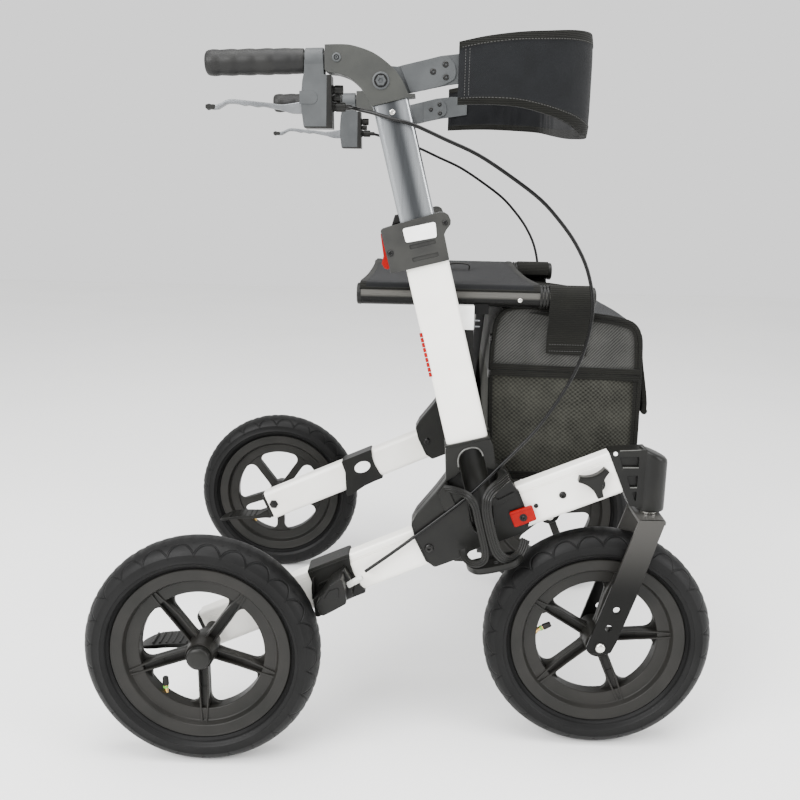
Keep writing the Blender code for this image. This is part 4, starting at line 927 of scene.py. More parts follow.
HOLDER = [
    (-0.034, 0.03), (-0.036, 0.045), (-0.026, 0.063), (-0.01, 0.068), (0.013, 0.068), (0.028, 0.063),
    (0.038, 0.045), (0.036, 0.03),
]
cup = flowing(HOLDER, 4)
inside = shrunk(cup, 0.003)
LEFT_BAND = [
    (0.3135, -0.286, 0.3667), (0.3208, -0.3, 0.3704), (0.3293, -0.314, 0.3722), (0.3378, -0.324, 0.3714),
    (0.3453, -0.3295, 0.3658), (0.3507, -0.3305, 0.3557), (0.3545, -0.3305, 0.3405),
    (0.3598, -0.3305, 0.3205), (0.3645, -0.3305, 0.3003), (0.364, -0.33, 0.2865), (0.3567, -0.327, 0.2796),
    (0.3478, -0.32, 0.2778), (0.3405, -0.308, 0.2796), (0.3371, -0.296, 0.2859),
]
RIGHT_BAND = [
    (0.3922, -0.288, 0.3854), (0.3834, -0.302, 0.3827), (0.3748, -0.316, 0.3802), (0.3677, -0.326, 0.3746),
    (0.364, -0.33, 0.3659), (0.3642, -0.3305, 0.3514), (0.368, -0.3305, 0.3342), (0.3734, -0.3305, 0.3141),
    (0.3798, -0.3305, 0.2981), (0.3881, -0.328, 0.2892), (0.398, -0.32, 0.2842), (0.4079, -0.31, 0.2853),
    (0.4151, -0.3, 0.2913), (0.4196, -0.29, 0.3001),
]


def band(points, width, strands):
    """A flat moulded band along a path with raised strands along it."""
    path = [Vector(p) for p in flowing(points, 3, closed=False)]
    bm = along(path, width / 2, 12, flat=0.34)
    middle = Vector((0.365, -0.285, 0.33))
    for k in range(strands):
        shift = (k - (strands - 1) / 2) * width / (strands + 0.4)
        strand = []
        for n, spot in enumerate(path):
            way = (path[min(n + 1, len(path) - 1)] - path[max(n - 1, 0)]).normalized()
            across = Vector((0, -1, 0)).cross(way).normalized()
            out = way.cross(across)
            out = out if out.dot(spot - middle) > 0 else -out
            strand.append(spot + across * shift + out * width * 0.15)
        joined(bm, along(strand, width / 9, 6))
    return bm


holder = plate(cup, -0.1915, -0.1835, UPRIGHT, 0.0008, 2, holes=[inside], turn=UPWARDS)
floor_of_cup = [circle(0.004, (0.002, 0.045), 16)]
joined(holder, plate(cup, -0.1925, -0.188, UPRIGHT, 0.0016, 3, holes=floor_of_cup, turn=UPWARDS))
joined(holder, band(LEFT_BAND, 0.0104, 3), band(RIGHT_BAND, 0.0136, 4))
piece("cane_holder_bands", holder, PLASTIC, "frame_right", "black_plastic", ["cane_holder"])

COLLAR = [
    (-0.0469, 0.2085), (-0.045, 0.2066), (0.0284, 0.2067), (0.029, 0.239), (0.033, 0.244), (0.0392, 0.249),
    (0.0406, 0.254), (0.0392, 0.261), (0.035, 0.265), (0.0297, 0.2667), (-0.0255, 0.2645),
    (-0.0462, 0.2628), (-0.0474, 0.26),
]
outline = eased(COLLAR, 0.0022, 3)
slots = []
for w in (0.233, 0.217):
    slot = [(-0.0165, w - 0.0026), (0.0167, w - 0.0026), (0.0167, w + 0.0026), (-0.0165, w + 0.0026)]
    slots.append(eased(slot, 0.0016))
clamp = plate(outline, -0.0172, 0.0172, UPRIGHT, 0.0)
for low, high in ((-CAST_HALF, -0.0168), (0.0168, CAST_HALF)):
    joined(clamp, plate(outline, low, high, UPRIGHT, 0.0007, 2, holes=slots))
pair("collar_clamp", clamp, COWL, "frame_{}", "black_plastic", ["collar_{}"])
tag = eased([(-0.0201, 0.2574), (0.0216, 0.2565), (0.0191, 0.2377), (-0.0198, 0.2397)], 0.003, 4)
pair("collar_plate", plate(tag, -0.0198, -0.0186, UPRIGHT, 0.0003, 2), WHITE_PLASTIC, "frame_{}")
LEVER_PIN = (-0.0414, 0.2316)
catch = [(-0.033, 0.264), (-0.015, 0.2655), (-0.017, 0.2745), (-0.026, 0.276)]
fixings = joined(
    screw(0.0034, 0.0016, 0.033, -CAST_HALF, 0.2528, UPRIGHT),
    screw(0.004, 0.0018, LEVER_PIN[0], -CAST_HALF, LEVER_PIN[1], UPRIGHT, key=0.45),
    plate(catch, -0.006, 0.006, UPRIGHT, 0.0012, 2),
)
pair("collar_fixings", fixings, BLACK_STEEL, "frame_{}")
LEVER = [
    (-0.0362, 0.235), (-0.0362, 0.2282), (-0.04, 0.2245), (-0.044, 0.215), (-0.05, 0.2122),
    (-0.0535, 0.2148), (-0.0555, 0.2211), (-0.053, 0.2262), (-0.0512, 0.23), (-0.0486, 0.2575),
    (-0.045, 0.2575), (-0.0445, 0.242), (-0.04, 0.239),
]
bore = circle(0.0032, LEVER_PIN, 16)
flap = plate(eased(LEVER, 0.0012), -0.0122, 0.0122, UPRIGHT, 0.001, 3, holes=[bore])
pair("release_lever", flap, RED, "collar_lever_{}", "red_plastic", ["collar_lever_{}"])


# Handle, brake and backrest arms

PIVOT = (0.2192, 0.8753)
ELBOW = [
    (0.151, 0.9157), (0.1777, 0.9162), (0.1965, 0.9122), (0.2116, 0.9063), (0.2266, 0.8963),
    (0.2377, 0.8861), (0.2459, 0.8748), (0.2525, 0.8612), (0.261, 0.8612), (0.2614, 0.8578),
    at(UPRIGHT, 0.0228, 0.408), at(UPRIGHT, -0.023, 0.408), (0.2068, 0.848), (0.1992, 0.8606),
    (0.1921, 0.8696), (0.182, 0.8776), (0.168, 0.8825), (0.156, 0.8838), (0.151, 0.8867),
]
SHARP = (0, 7, 8, 9, 10, 11, 18)
bend = flowing(ELBOW, 4, sharp=SHARP)
back = ELBOW[:3] + [(0.1972, 0.876), (0.1905, 0.8708)] + ELBOW[15:]
foot = [ELBOW[12], (0.204, 0.8528), (0.233, 0.8528), (0.252, 0.859), ELBOW[8], ELBOW[9], ELBOW[10], ELBOW[11]]
cast = plate(bend, -0.015, -0.0033, SIDE, 0.002, 3)
joined(cast, plate(bend, 0.0033, 0.015, SIDE, 0.002, 3))
joined(cast, plate(back, -0.0036, 0.0036, SIDE, 0.0), plate(foot, -0.0036, 0.0036, SIDE, 0.0))
joined(cast, turned(pin(0.011, 0.125, -0.03), BAR, 32, turn=ALONG_BAR))
joined(cast, crosswise(pin(0.005, 0.012, -0.012), *PIVOT, 24))
pair("elbow_casting", cast, CAST, "handle_{}", "elbow_grey", ["elbow_{}"])


def bolt_at(x, z, outer, hexagon):
    """Sunk washer ring with a hexagon nut, as on the hinge of the backrest arm."""
    ring = [
        (outer - 0.0022, 0.0146), (outer, 0.0146), (outer, 0.016), (outer - 0.0008, 0.0166),
        (outer - 0.0022, 0.0166),
    ]
    nut = [
        (0, 0.0162), (hexagon * 0.45, 0.0162), (hexagon * 0.5, 0.0176), (hexagon * 0.86, 0.0178),
        (hexagon, 0.017), (hexagon, 0.0146),
    ]
    return joined(crosswise(ring, x, z, 36, closed=True), crosswise(nut, x, z, 6))


REAR_BOLT = (0.1654, 0.9011)
bolts = joined(bolt_at(*PIVOT, 0.0104, 0.0066), bolt_at(*REAR_BOLT, 0.0054, 0.0024))
pair("elbow_bolt", bolts, PAINT, "handle_{}")
well = crosswise(pin(0.0086, 0.0153, 0.0145), *PIVOT, 32)
joined(well, crosswise(pin(0.0034, 0.0153, 0.0145), *REAR_BOLT, 24))
pair("elbow_bolt_well", well, BLACK_STEEL, "handle_{}")

grip = [(0, 0.133), (0.007, 0.133), (0.0112, 0.1324), (0.0138, 0.1308), (0.015, 0.1282), (0.0156, 0.124)]
swell = [0.0157, 0.0151, 0.0157, 0.0151, 0.0157, 0.0151, 0.0157, 0.0151, 0.0154, 0.015, 0.0147]
for k in range(41):
    share = k / 40 * 10
    low = min(int(share), 9)
    part_way = (1 - cos(pi * (share - low))) / 2
    radius = swell[low] + (swell[low + 1] - swell[low]) * part_way
    grip.append((radius - (0.0003 if k % 8 == 3 else 0), 0.123 - k * (0.123 - 0.013) / 40))
grip += [(0.0143, 0.012), (0.0114, 0.012), (0.0114, 0.1256), (0, 0.1256)]
sleeve = turned(grip, BAR, 48, turn=ALONG_BAR)
pair("grip_sleeve", sleeve, GRIP, "handle_{}", "grip_rubber", ["grip_{}"], sharp=50)

BRAKE_PIN = (0.134, 0.852)
HOUSING = [
    (0.1262, 0.898), (0.1262, 0.885), (0.1238, 0.8735), (0.1224, 0.856), (0.1228, 0.84), (0.1254, 0.821),
    (0.127, 0.8195), (0.16, 0.8195), (0.1585, 0.8808), (0.15, 0.8815), (0.1494, 0.898),
]
block = eased(HOUSING, [0.001, 0.02, 0.02, 0.02, 0.02, 0.003, 0.002, 0.002, 0.002, 0.001, 0.001], 4)
front_part = [(0.145, 0.819), (0.16, 0.8195), (0.1585, 0.8808), (0.145, 0.8815)]
below = [(0.124, 0.834), (0.1254, 0.821), (0.127, 0.8195), (0.146, 0.8195), (0.146, 0.834)]
above = [(0.1262, 0.88), (0.1242, 0.8735), (0.1232, 0.864), (0.146, 0.864), (0.146, 0.8815), (0.1262, 0.8815)]
shell = plate(block, -0.014, -0.0066, SIDE, 0.002, 3)
joined(shell, plate(block, 0.0066, 0.014, SIDE, 0.002, 3))
for fill in (front_part, below, above):
    joined(shell, plate(fill, -0.008, 0.008, SIDE, 0.0))
clip = [
    (0.0116, 0.0101), (0.0144, 0.0101), (0.015, 0.0094), (0.015, -0.0114), (0.0144, -0.0121),
    (0.0116, -0.0121),
]
joined(shell, turned(clip, BAR, 40, closed=True, turn=ALONG_BAR))
cover = [(0.1206, 0.862), (0.1207, 0.8467), (0.135, 0.8467)]
cover += arc((0.135, 0.85435), 0.00765, -75, 76, 15) + [(0.135, 0.862)]
joined(shell, plate(cover, -0.0146, -0.0136, SIDE, 0.0003, 2))
joined(shell, crosswise(pin(0.003, 0.012, -0.012), *BRAKE_PIN, 20))
pair("brake_housing_shell", shell, PAINT, "handle_{}", "lever_grey", ["brake_housing_{}"])
seam = strip([(x - 0.0002, z) for x, z in cover], -0.0006)
trim = plate(seam, -0.0142, -0.0138, SIDE, 0.0)
front_lip = [(0.153, 0.82), (0.1606, 0.8188), (0.159, 0.8812), (0.1535, 0.8812)]
joined(trim, plate(front_lip, -0.0144, 0.0144, SIDE, 0.0006, 2))
lower_lip = [(0.1256, 0.8206), (0.1266, 0.8189), (0.16, 0.8189), (0.16, 0.8212)]
joined(trim, plate(lower_lip, -0.0143, 0.0143, SIDE, 0.0004, 2))
for z, radius, length in ((0.865, 0.0058, 0.019), (0.855, 0.004, 0.016), (0.845, 0.0058, 0.022)):
    knurl = [
        (0, 0), (radius, 0), (radius, length * 0.38), (radius * 0.86, length * 0.4),
        (radius * 0.86, length * 0.46), (radius, length * 0.48), (radius, length - 0.0008),
        (radius * 0.9, length), (radius * 0.4, length), (radius * 0.4, length - 0.003), (0, length - 0.003),
    ]
    joined(trim, turned(knurl, Matrix.Translation((0.1535, -FRAME_Y, z)), 20, turn=FORWARDS))
pair("brake_housing_trim", trim, PLASTIC, "handle_{}")

top = [
    (0.1219, 0.8506), (0.1133, 0.8489), (0.0976, 0.8466), (0.0851, 0.8479), (0.0679, 0.8493),
    (0.0507, 0.8507), (0.0366, 0.8518), (0.0294, 0.8505), (0.0231, 0.8472), (0.016, 0.8448),
    (0.0058, 0.8446), (0.0044, 0.8428),
]
bottom = [
    (0.0058, 0.8406), (0.0175, 0.8394), (0.023, 0.8422), (0.031, 0.8464), (0.0428, 0.8462),
    (0.0514, 0.8442), (0.0569, 0.845), (0.0662, 0.843), (0.0741, 0.8438), (0.085, 0.8418), (0.0976, 0.8398),
    (0.1054, 0.8373), (0.1133, 0.8361), (0.124, 0.8364),
]
wave = flowing(top + bottom, 3, closed=False)
boss = arc(BRAKE_PIN, 0.0085, -125, 131, 15)
bore = circle(0.0034, BRAKE_PIN, 16)
handle = plate(wave + boss, -0.0058, 0.0058, SIDE, 0.0013, 3, holes=[bore], angle=50)
pair("brake_lever_blade", handle, ALLOY, "brake_lever_{}", "lever_grey", ["brake_lever_{}"])
ball = [(0, 0.004), (0.0024, 0.0036), (0.0036, 0.002), (0.004, 0)]
ball += [(r, -h) for r, h in reversed(ball[:3])]
tip = eased([(0.0036, 0.845), (0.0036, 0.84), (0.015, 0.8392), (0.016, 0.8452)], 0.0016)
tip = joined(crosswise(ball, 0.0068, 0.8424, 20), plate(tip, -0.0064, 0.0064, SIDE, 0.0016, 3))
pair("brake_lever_tip", tip, PLASTIC, "brake_lever_{}")

ARM = [
    (0.2555, 0.8632), (0.2999, 0.8728), (0.318, 0.8755), (0.345, 0.88), (0.345, 0.91), (0.318, 0.91),
    (0.2909, 0.9067), (0.2386, 0.8935),
]
round_end = arc(PIVOT, 0.02, 100, 301, 10)
strap = plate(round_end + ARM, -0.002, 0.002, SIDE, 0.0006, 2, holes=[circle(0.0054, PIVOT, 20)])
CHEEK = [(0.294, 0.8722), (0.3075, 0.879), (0.31, 0.886), (0.3085, 0.8965), (0.301, 0.906)]
CHEEK_EASE = [0.004, 0.008, 0.01, 0.01, 0.008, 0.004, 0.002]
cheek = [(0.2545, 0.8634), (0.262, 0.864), *CHEEK, (0.2905, 0.9062), (0.2415, 0.8942)]
cheek = eased(cheek, [0.002, 0.002] + CHEEK_EASE, 4)
inner = eased([(0.269, 0.866), *CHEEK, (0.2905, 0.9062), (0.269, 0.901)], [0.002] + CHEEK_EASE, 4)
joined(strap, plate(cheek, -0.004, -0.0018, SIDE, 0.0007, 2))
joined(strap, plate(inner, 0.0018, 0.004, SIDE, 0.0007, 2))
pair("backrest_arm_plates", strap, PAINT, "backrest_{}", "lever_grey", ["backrest_arm_{}"])
SPOTS = ((0.2967, 0.8967), (0.2818, 0.8881), (0.2976, 0.8819))
studs = joined(*[screw(0.0038, 0.0014, x, -0.0038, z, key=0.45) for x, z in SPOTS])
for x, z in SPOTS:
    inwards = SIDE @ Matrix.Rotation(pi, 4, "Z") @ Matrix.Translation((-2 * x, 0, 0))
    joined(studs, screw(0.0038, 0.0014, x, -0.0038, z, inwards, key=0.45))
pair("backrest_arm_screws", studs, BLACK_STEEL, "backrest_{}")


# Rails, seat, bag, lid, straps and backrest


def cloth(place, columns, rows, thick, tones=None):
    """Closed thin solid about the middle surface place(u, v), u and v from 0 to 1.

    thick is a thickness or a function of u, v and side (0 or 1) that gives the offset of that side.
    columns and rows are counts or lists of the lines between 0 and 1. tones picks a material from u, v and
    the side, 0 or 1.
    """
    across = [k / columns for k in range(columns + 1)] if isinstance(columns, int) else columns
    up = [k / rows for k in range(rows + 1)] if isinstance(rows, int) else rows
    bm = bmesh.new()
    bmesh.ops.create_grid(bm, x_segments=len(across) - 1, y_segments=len(up) - 1, size=1.0)
    top = bmesh.ops.extrude_face_region(bm, geom=bm.faces[:], use_keep_orig=True)["geom"]
    bmesh.ops.translate(bm, vec=(0, 0, 1), verts=[g for g in top if isinstance(g, bmesh.types.BMVert)])
    step = 0.002
    for face in bm.faces:
        middle = face.calc_center_median()
        u = across[min(int((middle.x + 1) / 2 * (len(across) - 1)), len(across) - 1)]
        v = up[min(int((middle.y + 1) / 2 * (len(up) - 1)), len(up) - 1)]
        face.material_index = tones(u, v, middle.z) if tones else 0
    for vert in bm.verts:
        u = across[round((vert.co.x + 1) / 2 * (len(across) - 1))]
        v = up[round((vert.co.y + 1) / 2 * (len(up) - 1))]
        side = round(vert.co.z)
        middle = Vector(place(u, v))
        way = Vector(place(min(u + step, 1), v)) - Vector(place(max(u - step, 0), v))
        rise = Vector(place(u, min(v + step, 1))) - Vector(place(u, max(v - step, 0)))
        out = way.cross(rise).normalized()
        offset = thick(u, v, side) if callable(thick) else thick * (side - 0.5)
        vert.co = middle + out * offset
    bmesh.ops.recalc_face_normals(bm, faces=bm.faces)
    return bm


def walk(points, smooth):
    """Place along a path of points as a function of its share of length, 0 to 1."""
    path = [Vector(p) for p in flowing(points, smooth, closed=False)]
    reach = [0.0]
    for a, b in zip(path, path[1:]):
        reach.append(reach[-1] + (b - a).length)

    def spot(share):
        far = share * reach[-1]
        k = 0
        while k < len(reach) - 2 and reach[k + 1] < far:
            k += 1
        part_way = (far - reach[k]) / max(reach[k + 1] - reach[k], 1e-9)
        return path[k] + (path[k + 1] - path[k]) * min(max(part_way, 0), 1)

    spot.length = reach[-1]
    return spot


def stitches(spot, count, size, lift, share=0.62):
    """Short raised threads along a path, lifted off it, each over its share of the pitch."""
    bm = bmesh.new()
    for k in range(count):
        a, b = Vector(spot((k + (1 - share) / 2) / count)), Vector(spot((k + (1 + share) / 2) / count))
        a, b = a + Vector(lift), b + Vector(lift)
        pose = (b - a).normalized().to_track_quat("Z", "Y").to_matrix().to_4x4()
        pose.translation = (a + b) / 2
        made = bmesh.ops.create_cube(bm, size=1.0)["verts"]
        bmesh.ops.scale(bm, vec=(size, size, (b - a).length), verts=made)
        bmesh.ops.transform(bm, matrix=pose, verts=made)
    return bm


# The rails: a round tube with a cap at each end and three rings next to the front strap
RAIL_BODY = {"right": "right_rail_brace", "left": "left_rail_brace"}
FRONT_CAP = [(0, 0.5032), (0.012, 0.503), (0.0145, 0.5016), (0.015, 0.4985), (0.0142, 0.4955), (0, 0.4955)]
REAR_CAP = [(0, 0.1892), (0.012, 0.1894), (0.0139, 0.1906), (0.0142, 0.193), (0.0142, 0.195), (0, 0.195)]
for side, sign in (("right", -1), ("left", 1)):
    place = Matrix.Translation((0, sign * RAIL_Y, RAIL_Z))
    bar = [(0.01, 0.1905), (0.0138, 0.1905), (0.0138, 0.4995), (0.01, 0.4995)]
    bar = turned(bar, place, 48, closed=True, turn=FORWARDS)
    piece(f"seat_rail_{side}_extrusion", bar, RAIL, RAIL_BODY[side], "brace_black", [f"seat_rail_{side}"])
    caps = turned(FRONT_CAP, place, 40, turn=FORWARDS)
    joined(caps, turned(REAR_CAP, place, 40, turn=FORWARDS))
    for k in range(3):
        x = 0.4297 + k * 0.0044
        fin = [
            (0.012, x), (0.0152, x), (0.0156, x + 0.0006), (0.0156, x + 0.0024), (0.0152, x + 0.003),
            (0.012, x + 0.003),
        ]
        joined(caps, turned(fin, place, 40, closed=True, turn=FORWARDS))
    piece(f"seat_rail_{side}_caps", caps, PLASTIC, RAIL_BODY[side])

# The seat: cloth stretched from rail to rail, its edges drawn round the top of each rail
SEAT_BACK = 0.1935
SEAT_DEEP = 0.236
ROUND_RAIL = 0.0146
half_seat = [(0.075, 0.6236), (0.15, 0.6258), (0.195, 0.6272)]
SEAT_LINE = arc((-RAIL_Y, RAIL_Z), ROUND_RAIL, 146, 79, -11)
SEAT_LINE += [(-y, z) for y, z in reversed(half_seat)] + [(0, 0.623)] + half_seat
SEAT_LINE += arc((RAIL_Y, RAIL_Z), ROUND_RAIL, 100, 33, -11)
seat_walk = walk(SEAT_LINE, 3)


def seat_at(u, v):
    """u runs across the seat and v forwards."""
    y, z = seat_walk(u)
    hang = max(0.0, 1 - (y / 0.19) ** 2)
    pucker = 0.0007 * sin(26 * v * pi + 3 * sin(9 * u)) * max(0.0, 1 - abs(abs(y) - 0.19) / 0.035)
    return (SEAT_BACK + SEAT_DEEP * v, y, z - 0.002 * hang * sin(pi * v) + pucker)


def seat_thick(u, v, side):
    return (side - 0.5) * (0.002 if 0.032 < v < 0.968 else 0.0034)


def seat_tone(u, v, z):
    return 0 if 0.032 < v < 0.965 else 1


deep = [0, 0.03, 0.034] + [0.034 + k * 0.932 / 22 for k in range(1, 22)] + [0.966, 0.97, 1]
sling = cloth(seat_at, 64, deep, seat_thick, seat_tone)
sling = piece("seat_sling", sling, [SEAT_CLOTH, WEB], None, "black_fabric", ["seat"], sharp=50)
welt = bmesh.new()
for sign in (-1, 1):
    path = [(x, sign * (RAIL_Y + 0.0118), RAIL_Z + 0.0086) for x in (0.1937, 0.25, 0.31, 0.37, 0.4292)]
    joined(welt, along(path, 0.0017, 8))
for each in (sling, piece("seat_welt", welt, WEB, None)):
    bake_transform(each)


def folding(made):
    """Gives a soft-goods piece its own copy of its mesh and returns it."""
    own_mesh(made)
    return made


# The bag: side panels of twill and spacer mesh with bound edges, a wrap of the same, piping, a tape band
BAG_Y = 0.2125
BAG_SIDE = [
    (0.3757, 0.37), (0.3725, 0.4146), (0.3702, 0.4709), (0.3695, 0.5193), (0.3708, 0.5534), (0.375, 0.5805),
    (0.3838, 0.5928), (0.3955, 0.5985), (0.4193, 0.6004), (0.4434, 0.5969), (0.4994, 0.5916),
    (0.5262, 0.5883), (0.5396, 0.5859), (0.5559, 0.5809), (0.5659, 0.5705), (0.57, 0.5517), (0.5723, 0.504),
    (0.5734, 0.406), (0.5695, 0.384), (0.56, 0.376), (0.386, 0.359),
]
contour = flowing(BAG_SIDE, 3)


def span(x):
    """Bottom and top of the bag's side at x."""
    hits = []
    for a, b in zip(contour, contour[1:] + contour[:1]):
        if (a[0] - x) * (b[0] - x) < 0:
            hits.append(a[1] + (b[1] - a[1]) * (x - a[0]) / (b[0] - a[0]))
    return (min(hits), max(hits)) if hits else (0.39, 0.3905)


def bag_side_at(u, v):
    """u runs forwards and v upwards over the right side panel, which bellies out a little and creases."""
    x = 0.3712 + (0.5722 - 0.3712) * u
    low, high = span(x)
    z = low + (high - low) * v
    belly = (1 - (2 * u - 1) ** 4) * (1 - (2 * v - 1) ** 6)
    crease = 0.0012 * sin(7.5 * u + 5.0 * v) * sin(pi * v) + 0.0007 * sin(19 * u - 11 * v)
    return (x, -BAG_Y + 0.0012 - belly * (0.0026 + crease), z)


panel = cloth(bag_side_at, 44, 56, 0.002)
for face in panel.faces:
    middle = face.calc_center_median()
    face.material_index = 0 if middle.z > 0.518 - (middle.x - 0.372) * 0.026 else 1
joined(panel, plate(contour, 0.0522, 0.0532, SIDE, 0.0))
joined(panel, mirrored(panel))
folding(piece("bag_side_panels", panel, [TWILL, NET], "bag", "black_fabric", ["bag"]))

WRAP = [
    (0.385, 0.5925), (0.3752, 0.579), (0.3712, 0.5534), (0.37, 0.5193), (0.3707, 0.4709), (0.373, 0.4146),
    (0.3765, 0.372), (0.387, 0.3608), (0.42, 0.3618), (0.47, 0.3665), (0.52, 0.3715), (0.558, 0.3765),
    (0.569, 0.3845), (0.5728, 0.406), (0.5722, 0.46), (0.5718, 0.504), (0.5695, 0.5517), (0.5655, 0.569),
]
wrap_walk = walk(WRAP, 4)


def wrap_at(u, v):
    x, z = wrap_walk(v)
    sag = 0.003 * sin(pi * u) if z < 0.385 else 0
    return (x, -BAG_Y + 2 * BAG_Y * u, z - sag + 0.0008 * sin(14 * u + 9 * v))


def wrap_tone(u, v, z):
    return 0 if wrap_walk(v)[1] > 0.512 else 1


wrap = cloth(wrap_at, 24, 60, 0.002, wrap_tone)
wrap = folding(piece("bag_wrap", wrap, [TWILL, NET], "bag"))

# Bound edge 9 mm wide, drawn as two tapes with a groove between, and piping outside it
binding = bmesh.new()
for start, end, lift in ((0.0, 0.004, 0.0012), (0.0043, 0.0088, 0.0006)):
    first, last = shrunk(contour, start + 0.0002), shrunk(contour, end)
    joined(binding, plate(first, 0.047 - lift, 0.05, SIDE, 0.0004, 2, holes=[last]))
path = [(x, -BAG_Y + 0.0006, z) for x, z in contour[4:] + contour[:4]]
joined(binding, along(path, 0.0021, 8))
for share in (0.0, 0.5):
    tape = [(x, 0.5226 - share * 0.0168 - (x - 0.371) * 0.02) for x in (0.3716, 0.42, 0.47, 0.52, 0.5716)]
    joined(binding, plate(strip(tape, 0.0078), 0.0446, 0.048, SIDE, 0.0004, 2))
folding(piece("bag_binding", joined(binding, mirrored(binding)), WEB, "bag"))

# Straps round the rails
STRAP_WIDE = 0.054
STRAP = arc((-RAIL_Y, RAIL_Z), 0.0158, -20, 191, 14)
STRAP += [(-0.2358, 0.6), (-0.23, 0.586), (-0.2215, 0.572), (-0.2188, 0.556), (-0.2183, 0.537)]
strap_walk = walk(STRAP, 2)


def strap_at(u, v):
    y, z = strap_walk(v)
    slant = 0.0016 * (1 - v) if v > 0.6 else 0
    end = 0.0028 * (u - 0.5) if v > 0.98 else 0
    return (0.4425 + STRAP_WIDE * u + slant, y + 0.0003 * sin(17 * v) * sin(5 * u), z - end)


strap_bm = cloth(strap_at, 10, 44, 0.0018)
strap_sew = stitches(lambda t: strap_at(0.06 + 0.88 * t, 0.965), 14, 0.0007, (0, -0.001, 0))
joined(strap_sew, stitches(lambda t: strap_at(0.06 + 0.88 * t, 0.9), 14, 0.0007, (0, -0.001, 0)))
for side, made in zip(("right", "left"), pair("bag_strap", strap_bm, WEB, "bag")):
    folding(made)
for made in pair("bag_strap_stitches", strap_sew, THREAD, "bag"):
    folding(made)

# The lid: a padded flap that slopes forwards and hangs down in front
LID = [
    (0.437, 0.5962), (0.47, 0.5912), (0.51, 0.585), (0.548, 0.579), (0.564, 0.5745), (0.5728, 0.564),
    (0.5748, 0.548), (0.5752, 0.534), (0.5778, 0.515), (0.5808, 0.498), (0.5836, 0.482), (0.5852, 0.469),
    (0.585, 0.459),
]
lid_walk = walk(LID, 4)


def lid_at(u, v):
    x, z = lid_walk(v)
    drop = 0.0022 * abs(2 * u - 1) ** 10
    ripple = 0.0007 * sin(11 * u + 6 * v) * sin(pi * v)
    back, down = (drop, 0) if v > 0.55 else (0, drop)
    return (x - back, -0.205 + 0.41 * u, z - down + ripple)


def lid_thick(u, v, side):
    crown = (1 - abs(2 * u - 1) ** 12) * (1 - abs(2 * v - 1) ** 14)
    flap = min(max((v - 0.55) / 0.25, 0), 1)
    return (side - 0.5) * (0.003 + 0.0026 * crown + flap * (0.003 + 0.001 * crown))


narrow = [0, 0.018, 0.021] + [0.021 + k * 0.958 / 28 for k in range(1, 28)] + [0.979, 0.982, 1]
lid_rows = [k / 40 for k in range(39)] + [0.958, 0.962, 0.985, 1]


def lid_tone(u, v, z):
    return 1 if u < 0.019 or u > 0.978 or v > 0.958 else 0


lid = cloth(lid_at, narrow, lid_rows, lid_thick, lid_tone)
lid = piece("bag_lid_flap", lid, [CLOTH, WEB], "bag_lid", "black_fabric", ["bag_lid"], sharp=50)
folding(lid)
hem = along([lid_at(k / 20, 1.0) for k in range(21)], 0.0044, 12)
folding(piece("bag_lid_hem", hem, WEB, "bag_lid"))

# Pull loop sewn into the seat, 33 mm long and 14 mm wide
PULL_WIDE = 0.014
PULL = [
    (0.318, 0.624), (0.3175, 0.63), (0.3215, 0.6335), (0.334, 0.6345), (0.347, 0.633), (0.3505, 0.63),
    (0.35, 0.624),
]
pull_walk = walk(PULL, 4)
pull = cloth(lambda u, v: (pull_walk(v)[0], 0.066 + PULL_WIDE * u, pull_walk(v)[1]), 4, 30, 0.0016)
pull = folding(piece("seat_pull_loop", pull, WEB, "right_rail_brace"))

# The backrest: a padded band with bound edges, drawn down in front, and a creased lining
BAND = [
    (0.3125, -0.2645, 0.85, 0.9228), (0.345, -0.2655, 0.8512, 0.9298), (0.385, -0.266, 0.8492, 0.9351),
    (0.42, -0.264, 0.8415, 0.9374), (0.45, -0.254, 0.8315, 0.94), (0.47, -0.232, 0.822, 0.9413),
    (0.479, -0.2, 0.818, 0.9415), (0.483, -0.13, 0.82, 0.9415), (0.485, 0.0, 0.828, 0.9415),
    (0.483, 0.13, 0.839, 0.9415), (0.479, 0.2, 0.846, 0.9415), (0.47, 0.232, 0.85, 0.9413),
    (0.45, 0.254, 0.853, 0.94), (0.42, 0.264, 0.855, 0.9374), (0.385, 0.266, 0.856, 0.9351),
    (0.345, 0.2655, 0.855, 0.9298), (0.3125, 0.2645, 0.853, 0.9228),
]
band_top = flowing([(x, y, high) for x, y, low, high in BAND], 6, closed=False)
band_low = flowing([(x, y, low) for x, y, low, high in BAND], 6, closed=False)


def band_at(u, v):
    far = u * (len(band_low) - 1)
    k = min(int(far), len(band_low) - 2)
    low = Vector(band_low[k]).lerp(Vector(band_low[k + 1]), far - k)
    high = Vector(band_top[k]).lerp(Vector(band_top[k + 1]), far - k)
    return low.lerp(high, v)


def band_thick(u, v, side):
    crown = (1 - abs(2 * v - 1) ** 5) * (1 - abs(2 * u - 1) ** 26)
    bound = 0.0008 if v < 0.115 or v > 0.885 else 0.0
    if side:
        return 0.0024 + 0.0026 * crown + bound
    fold = 0.0011 * sin(150 * u + 4 * sin(31 * u)) * (1 - v) ** 0.7 + 0.0006 * sin(61 * u + 9 * v)
    return -(0.0024 + 0.0016 * crown + fold * min(1.0, 8 * v) + bound)


def band_tone(u, v, z):
    if v < 0.11 or v > 0.885:
        return 1
    return 2 if z < 0.05 else 0


band_rows = [0, 0.04, 0.08, 0.112, 0.122, 0.16, 0.22, 0.3, 0.4, 0.5, 0.6, 0.7, 0.78, 0.84]
band_rows += [0.878, 0.888, 0.92, 0.96, 1]
pad = cloth(band_at, 128, band_rows, band_thick, band_tone)
